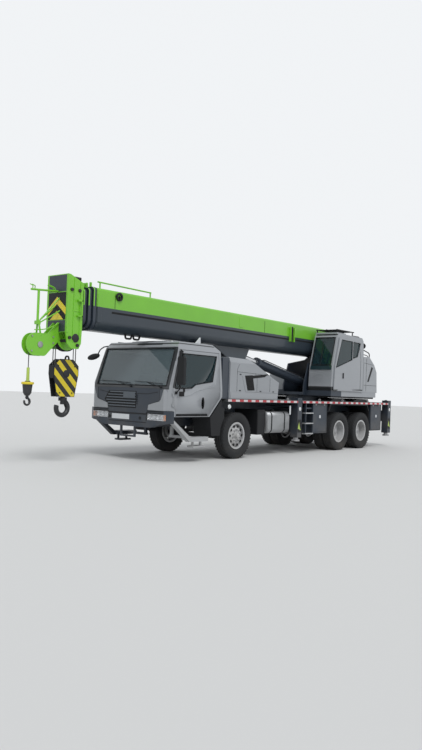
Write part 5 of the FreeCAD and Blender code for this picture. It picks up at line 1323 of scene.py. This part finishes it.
class MakeHeadTrim(bpy.types.Operator):
    """Adds the chevron panel, plates, pins and rope guards of the boom's head"""
    bl_idname = "crane.make_head_trim"
    bl_label = "Boom head"

    def face(self, points, colour, name, proud):
        """A thin plate on the head's front, or proud of it."""
        piece = slab([put(HEAD_FRONT + proud, y, z) for y, z in points], 0.002, 0.0005)
        finish(piece, name, colour, "boom_5")

    def execute(self, context):
        half = 0.272
        for name, colour, low, high in (("top", "slate paint", 3.40, 3.725),
                                        ("chevron", "black plastic", 2.845, 3.385),
                                        ("low", "slate paint", 2.61, 2.835)):
            self.face(((-half, low), (half, low), (half, high), (-half, high)), colour, f"head_{name}_panel",
                      0.0)
        upper = ((0, 3.30), (-half, 3.08), (-half, 2.94), (0, 3.16), (half, 2.94), (half, 3.08))
        self.face(upper, "yellow paint", "head_chevron_upper", 0.002)
        self.face(((0, 3.025), (-0.205, 2.85), (0.205, 2.85)), "yellow paint", "head_chevron_lower", 0.002)
        ribs = boxes(((4.10, 4.125, BOOM_SIDE, 0.322, 2.50, 3.60),
                      (4.26, 4.285, BOOM_SIDE, 0.322, 2.42, 3.68),
                      (4.40, HEAD_FRONT, BOOM_SIDE, 0.326, 2.60, 3.735),
                      (4.06, 4.30, BOOM_SIDE, 0.318, 3.02, 3.05)), 0.003)
        guards = boxes(((4.09, 4.20, BOOM_SIDE, 0.37, 3.22, 3.26), (4.09, 4.12, 0.35, 0.37, 2.92, 3.26),
                        (4.09, 4.20, BOOM_SIDE, 0.37, 2.92, 2.95)), 0.005)
        finish(both_sides(joined([ribs, guards])), "head_ribs", "green paint", "boom_5")
        hood = boxes(((4.075, 4.30, -0.278, 0.278, 3.60, 3.712),), 0.012)
        finish(hood, "head_hood", "black plastic", "boom_5")
        sheave_x, sheave_z = MAIN_SHEAVES
        nose_x, nose_z = NOSE_SHEAVE
        caps = [round_cap(0.085, 0.012, 0.055, 0.026, put(sheave_x, side * BOOM_SIDE, sheave_z), (0, side, 0),
                          24)
                for side in (1, -1)]
        caps += [round_stud(0.032, 0.03, 0.034, put(x, side * BOOM_SIDE, z), (0, side, 0), 16)
                 for side in (1, -1) for x, z in ((4.36, 2.50), (4.16, 2.36), (4.34, 3.44), (4.15, 3.44))]
        rollers = [square_ring(0, 0.03, -0.24, 0.24, put(x, 0, z), (0, 1, 0), 20)
                   for x, z in ((4.36, 3.70), (4.35, 2.44))]
        finish(joined([*caps, *rollers]), "head_pins", "cast iron", "boom_5")
        rims = []
        for centre, inner, outer in ((put(sheave_x, 0.036, sheave_z), 0.205, 0.262),
                                     (put(sheave_x, -0.036, sheave_z), 0.205, 0.262),
                                     (put(nose_x, 0, nose_z), 0.15, 0.202)):
            groove = outer - 0.017
            rims.append(turned(((inner, -0.019), (outer, -0.019), (outer, -0.012), (groove, -0.004),
                                (groove, 0.004), (outer, 0.012), (outer, 0.019), (inner, 0.019)),
                               centre, (0, 1, 0), 40))
        finish(joined(rims), "head_sheave_rims", "black plastic", "boom_5")
        arm_side = 0.078
        nuts = [round_cap(0.06, 0.012, 0.03, 0.02, put(nose_x, side * arm_side, nose_z), (0, side, 0), 20)
                for side in (1, -1)]
        nuts += [round_stud(0.018, 0.014, 0.016, put(x, side * arm_side, z), (0, side, 0), 6)
                 for side in (1, -1) for x, z in ((4.56, 2.50), (4.56, 2.38), (5.05, 2.48), (5.05, 2.20))]
        finish(joined(nuts), "nose_nuts", "bare steel", "boom_5")
        route = [put(4.45, 0.10, 2.78), put(4.60, 0.12, 2.70), put(4.80, 0.11, 2.62), put(5.02, 0.10, 2.60)]
        hose = pipe(bend(route, 0.1), 0.010)
        hooks = [pipe(bend([put(4.98 + k * 0.05, 0.0, 3.375), put(4.99 + k * 0.05, 0.03, 3.44),
                            put(5.06 + k * 0.05, 0.03, 3.46)], 0.02), 0.009) for k in (0, 1)]
        stay = pipe([put(HEAD_FRONT, 0.09, 3.02), put(4.875, 0.03, 2.74)], 0.013)
        prongs = [pipe(bend([put(4.50, y, 3.41), put(4.53, y, 3.47), put(4.66, y, 3.50)], 0.03), 0.010)
                  for y in (0.02, -0.03)]
        finish(joined([hose, *hooks, stay, *prongs]), "nose_fittings", "green paint", "boom_5")
        return {"FINISHED"}


class MakeHookTrim(bpy.types.Operator):
    """Adds the ring, latch and bolts of the hook block and the small hook's rim"""
    bl_idname = "crane.make_hook_trim"
    bl_label = "Hooks"

    def execute(self, context):
        middle = MAIN_HOOK_X
        ring = square_ring(0.040, 0.066, -0.013, 0.013, put(4.14, 0.0, 2.10), (1, 0, 0), 24)
        foot = boxes(((4.12, 4.16, -0.03, 0.03, 2.045, 2.075),), 0.005)
        cheek = [(middle + x, z) for x, z in ((-0.165, 2.08), (0.165, 2.08), (0.295, 1.96), (0.30, 1.79),
                                              (0.215, 1.345), (-0.215, 1.345), (-0.30, 1.79), (-0.295, 1.96))]
        edge = [loop_pipe(side_points(cheek, y), 0.006) for y in (0.082, -0.082)]
        spine = boxes(((4.485, 4.512, -0.07, 0.07, 1.70, 1.95), (3.908, 3.935, -0.07, 0.07, 1.70, 1.95)),
                      0.006)
        finish(joined([ring, foot, *edge, spine]), "block_edges", "black plastic", "main_hook")
        face = 0.084
        caps = [round_cap(0.075, 0.008, 0.04, 0.022, put(middle, side * face, 1.80), (0, side, 0), 24)
                for side in (1, -1)]
        caps += [round_stud(0.014, 0.012, 0.013, put(middle + x, side * face, z), (0, side, 0), 6)
                 for side in (1, -1) for x, z in ((-0.2, 1.95), (0.2, 1.95), (-0.15, 1.42), (0.15, 1.42))]
        collar = square_ring(0.05, 0.085, 1.262, 1.330, put(middle, 0, 0), (0, 0, 1), 24)
        latch = pipe(bend([put(4.17, 0, 1.20), put(4.12, 0, 1.10), put(4.16, 0, 1.04)], 0.05), 0.010)
        finish(joined([*caps, collar, latch]), "block_pins", "cast iron", "main_hook")
        rim = turned(((0.098, 1.560), (0.115, 1.566), (0.119, 1.588), (0.113, 1.604), (0.098, 1.610)),
                      put(SECOND_HOOK_X, 0, 0), (0, 0, 1), 32)
        finish(rim, "small_hook_rim", "yellow paint", "second_hook")
        nut = square_ring(0.02, 0.036, 1.296, 1.335, put(SECOND_HOOK_X, 0, 0), (0, 0, 1), 6)
        clip = pipe(bend([put(5.03, 0, 1.28), put(5.006, 0, 1.23), put(5.02, 0, 1.19)], 0.02), 0.005)
        finish(joined([nut, clip]), "small_hook_fittings", "cast iron", "second_hook")
        return {"FINISHED"}


class MakeStudio(bpy.types.Operator):
    """Sets up the floor, the light and the camera at the photograph's view"""
    bl_idname = "crane.make_studio"
    bl_label = "Studio"

    def execute(self, context):
        looks = context.scene.crane_looks
        clear()
        bpy.ops.mesh.primitive_plane_add(size=240)
        floor = bpy.context.object
        floor.name = "studio_floor"
        with editing():
            bpy.ops.mesh.subdivide(number_cuts=2)
        shade = Shade("studio floor")
        floor.data.materials.append(shade.set(base_color=tuple(looks.floor_colour), roughness=0.85))

        clear()
        bpy.ops.object.light_add(type="SUN", location=(0, 0, 20))
        sun = bpy.context.object
        sun.name = "studio_sun"
        sun.rotation_euler = (math.radians(38), 0, math.radians(150))
        sun.data.energy = looks.sun_strength
        sun.data.angle = math.radians(24)

        world = bpy.data.worlds.new("studio sky")
        context.scene.world = world
        world.use_nodes = True
        nodes, links = world.node_tree.nodes, world.node_tree.links
        back = nodes["Background"]
        back.inputs["Color"].default_value = (0.93, 0.96, 1.0, 1)
        back.inputs["Strength"].default_value = looks.sky_strength
        seen = nodes.new("ShaderNodeBackground")
        seen.inputs["Color"].default_value = (0.88, 0.90, 0.92, 1)
        rays = nodes.new("ShaderNodeLightPath")
        either = nodes.new("ShaderNodeMath")
        either.operation = "MAXIMUM"
        links.new(rays.outputs["Is Camera Ray"], either.inputs[0])
        links.new(rays.outputs["Is Glossy Ray"], either.inputs[1])
        blend = nodes.new("ShaderNodeMixShader")
        links.new(either.outputs[0], blend.inputs[0])
        links.new(back.outputs[0], blend.inputs[1])
        links.new(seen.outputs[0], blend.inputs[2])
        links.new(blend.outputs[0], nodes["World Output"].inputs["Surface"])

        context.scene.view_settings.view_transform = "Standard"
        self.camera(context, looks)
        return {"FINISHED"}

    def camera(self, context, looks):
        """The camera stands where the photographer did, as fitted to the wheels, cab and boom."""
        yaw, pitch, roll = looks.camera_yaw, looks.camera_pitch, looks.camera_roll
        forward = Vector((math.cos(yaw) * math.cos(pitch), math.sin(yaw) * math.cos(pitch), math.sin(pitch)))
        right = Vector((math.sin(yaw), -math.cos(yaw), 0))
        down = forward.cross(right)
        right, down = (right * math.cos(roll) + down * math.sin(roll),
                       down * math.cos(roll) - right * math.sin(roll))
        turn = Matrix((right, -down, -forward)).transposed()
        clear()
        bpy.ops.object.camera_add(location=put(*looks.camera_place))
        camera = bpy.context.object
        camera.name = "photograph_view"
        camera.rotation_euler = turn.to_euler()
        camera.data.lens = looks.camera_lens
        camera.data.sensor_width = 36
        camera.data.clip_end = 400
        context.scene.camera = camera


class CraneLooks(bpy.types.PropertyGroup):
    """Sizes, colours and lights that a user would change"""
    floor_colour: bpy.props.FloatVectorProperty(
        name="Floor", description="Colour of the studio floor", subtype="COLOR", size=3,
        default=(0.62, 0.62, 0.61), min=0, max=1)
    sun_strength: bpy.props.FloatProperty(
        name="Sun", description="Strength of the soft sun", default=1.5, min=0)
    sky_strength: bpy.props.FloatProperty(
        name="Sky", description="Strength of the sky light", default=0.7, min=0)
    camera_place: bpy.props.FloatVectorProperty(
        name="Camera place", description="Camera ahead of the front axle, to its left and above the ground",
        subtype="XYZ", unit="LENGTH", size=3, default=(12.858, 10.917, 1.552))
    camera_yaw: bpy.props.FloatProperty(
        name="Camera yaw", description="Heading of the view", subtype="ANGLE", default=math.radians(-140.507))
    camera_pitch: bpy.props.FloatProperty(
        name="Camera pitch", description="Upward tilt of the view", subtype="ANGLE",
                                          default=math.radians(1.384))
    camera_roll: bpy.props.FloatProperty(
        name="Camera roll", description="Roll of the camera", subtype="ANGLE", default=math.radians(-2.114))
    camera_lens: bpy.props.FloatProperty(
        name="Camera lens", description="Focal length", subtype="DISTANCE_CAMERA", unit="CAMERA",
                                         default=32.93)


PIECES = (PaintFrame, SplitPanes, MakeTyres, MakeWheelNuts, MakeSeats, MakeScreenTrim, MakeDoorTrim,
          MakeLamps,
          MakeGrille, MakeBonnetTrim, MakeDeckTrim, MakeStandTrim, MakeOperatorCabTrim, MakeUpperTrim,
          MakeWinchRopes, MakeBoomTrim, MakeHeadTrim, MakeHookTrim, MakeStudio)


class CranePanel(bpy.types.Panel):
    """Lists the crane's pieces in the sidebar"""
    bl_idname = "VIEW3D_PT_crane"
    bl_label = "Truck crane"
    bl_space_type = "VIEW_3D"
    bl_region_type = "UI"
    bl_category = "Crane"

    def draw(self, context):
        for name in CraneLooks.__annotations__:
            self.layout.prop(context.scene.crane_looks, name)
        for piece in PIECES:
            self.layout.operator(piece.bl_idname)


def register():
    for one in (CraneLooks, *PIECES, CranePanel):
        bpy.utils.register_class(one)
    bpy.types.Scene.crane_looks = bpy.props.PointerProperty(type=CraneLooks)


def unregister():
    del bpy.types.Scene.crane_looks
    for one in reversed((CraneLooks, *PIECES, CranePanel)):
        bpy.utils.unregister_class(one)


def main():
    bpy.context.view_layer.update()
    register()
    for piece in PIECES:
        group, name = piece.bl_idname.split(".")
        getattr(getattr(bpy.ops, group), name)()
    clear()


if __name__ == "__main__":
    main()
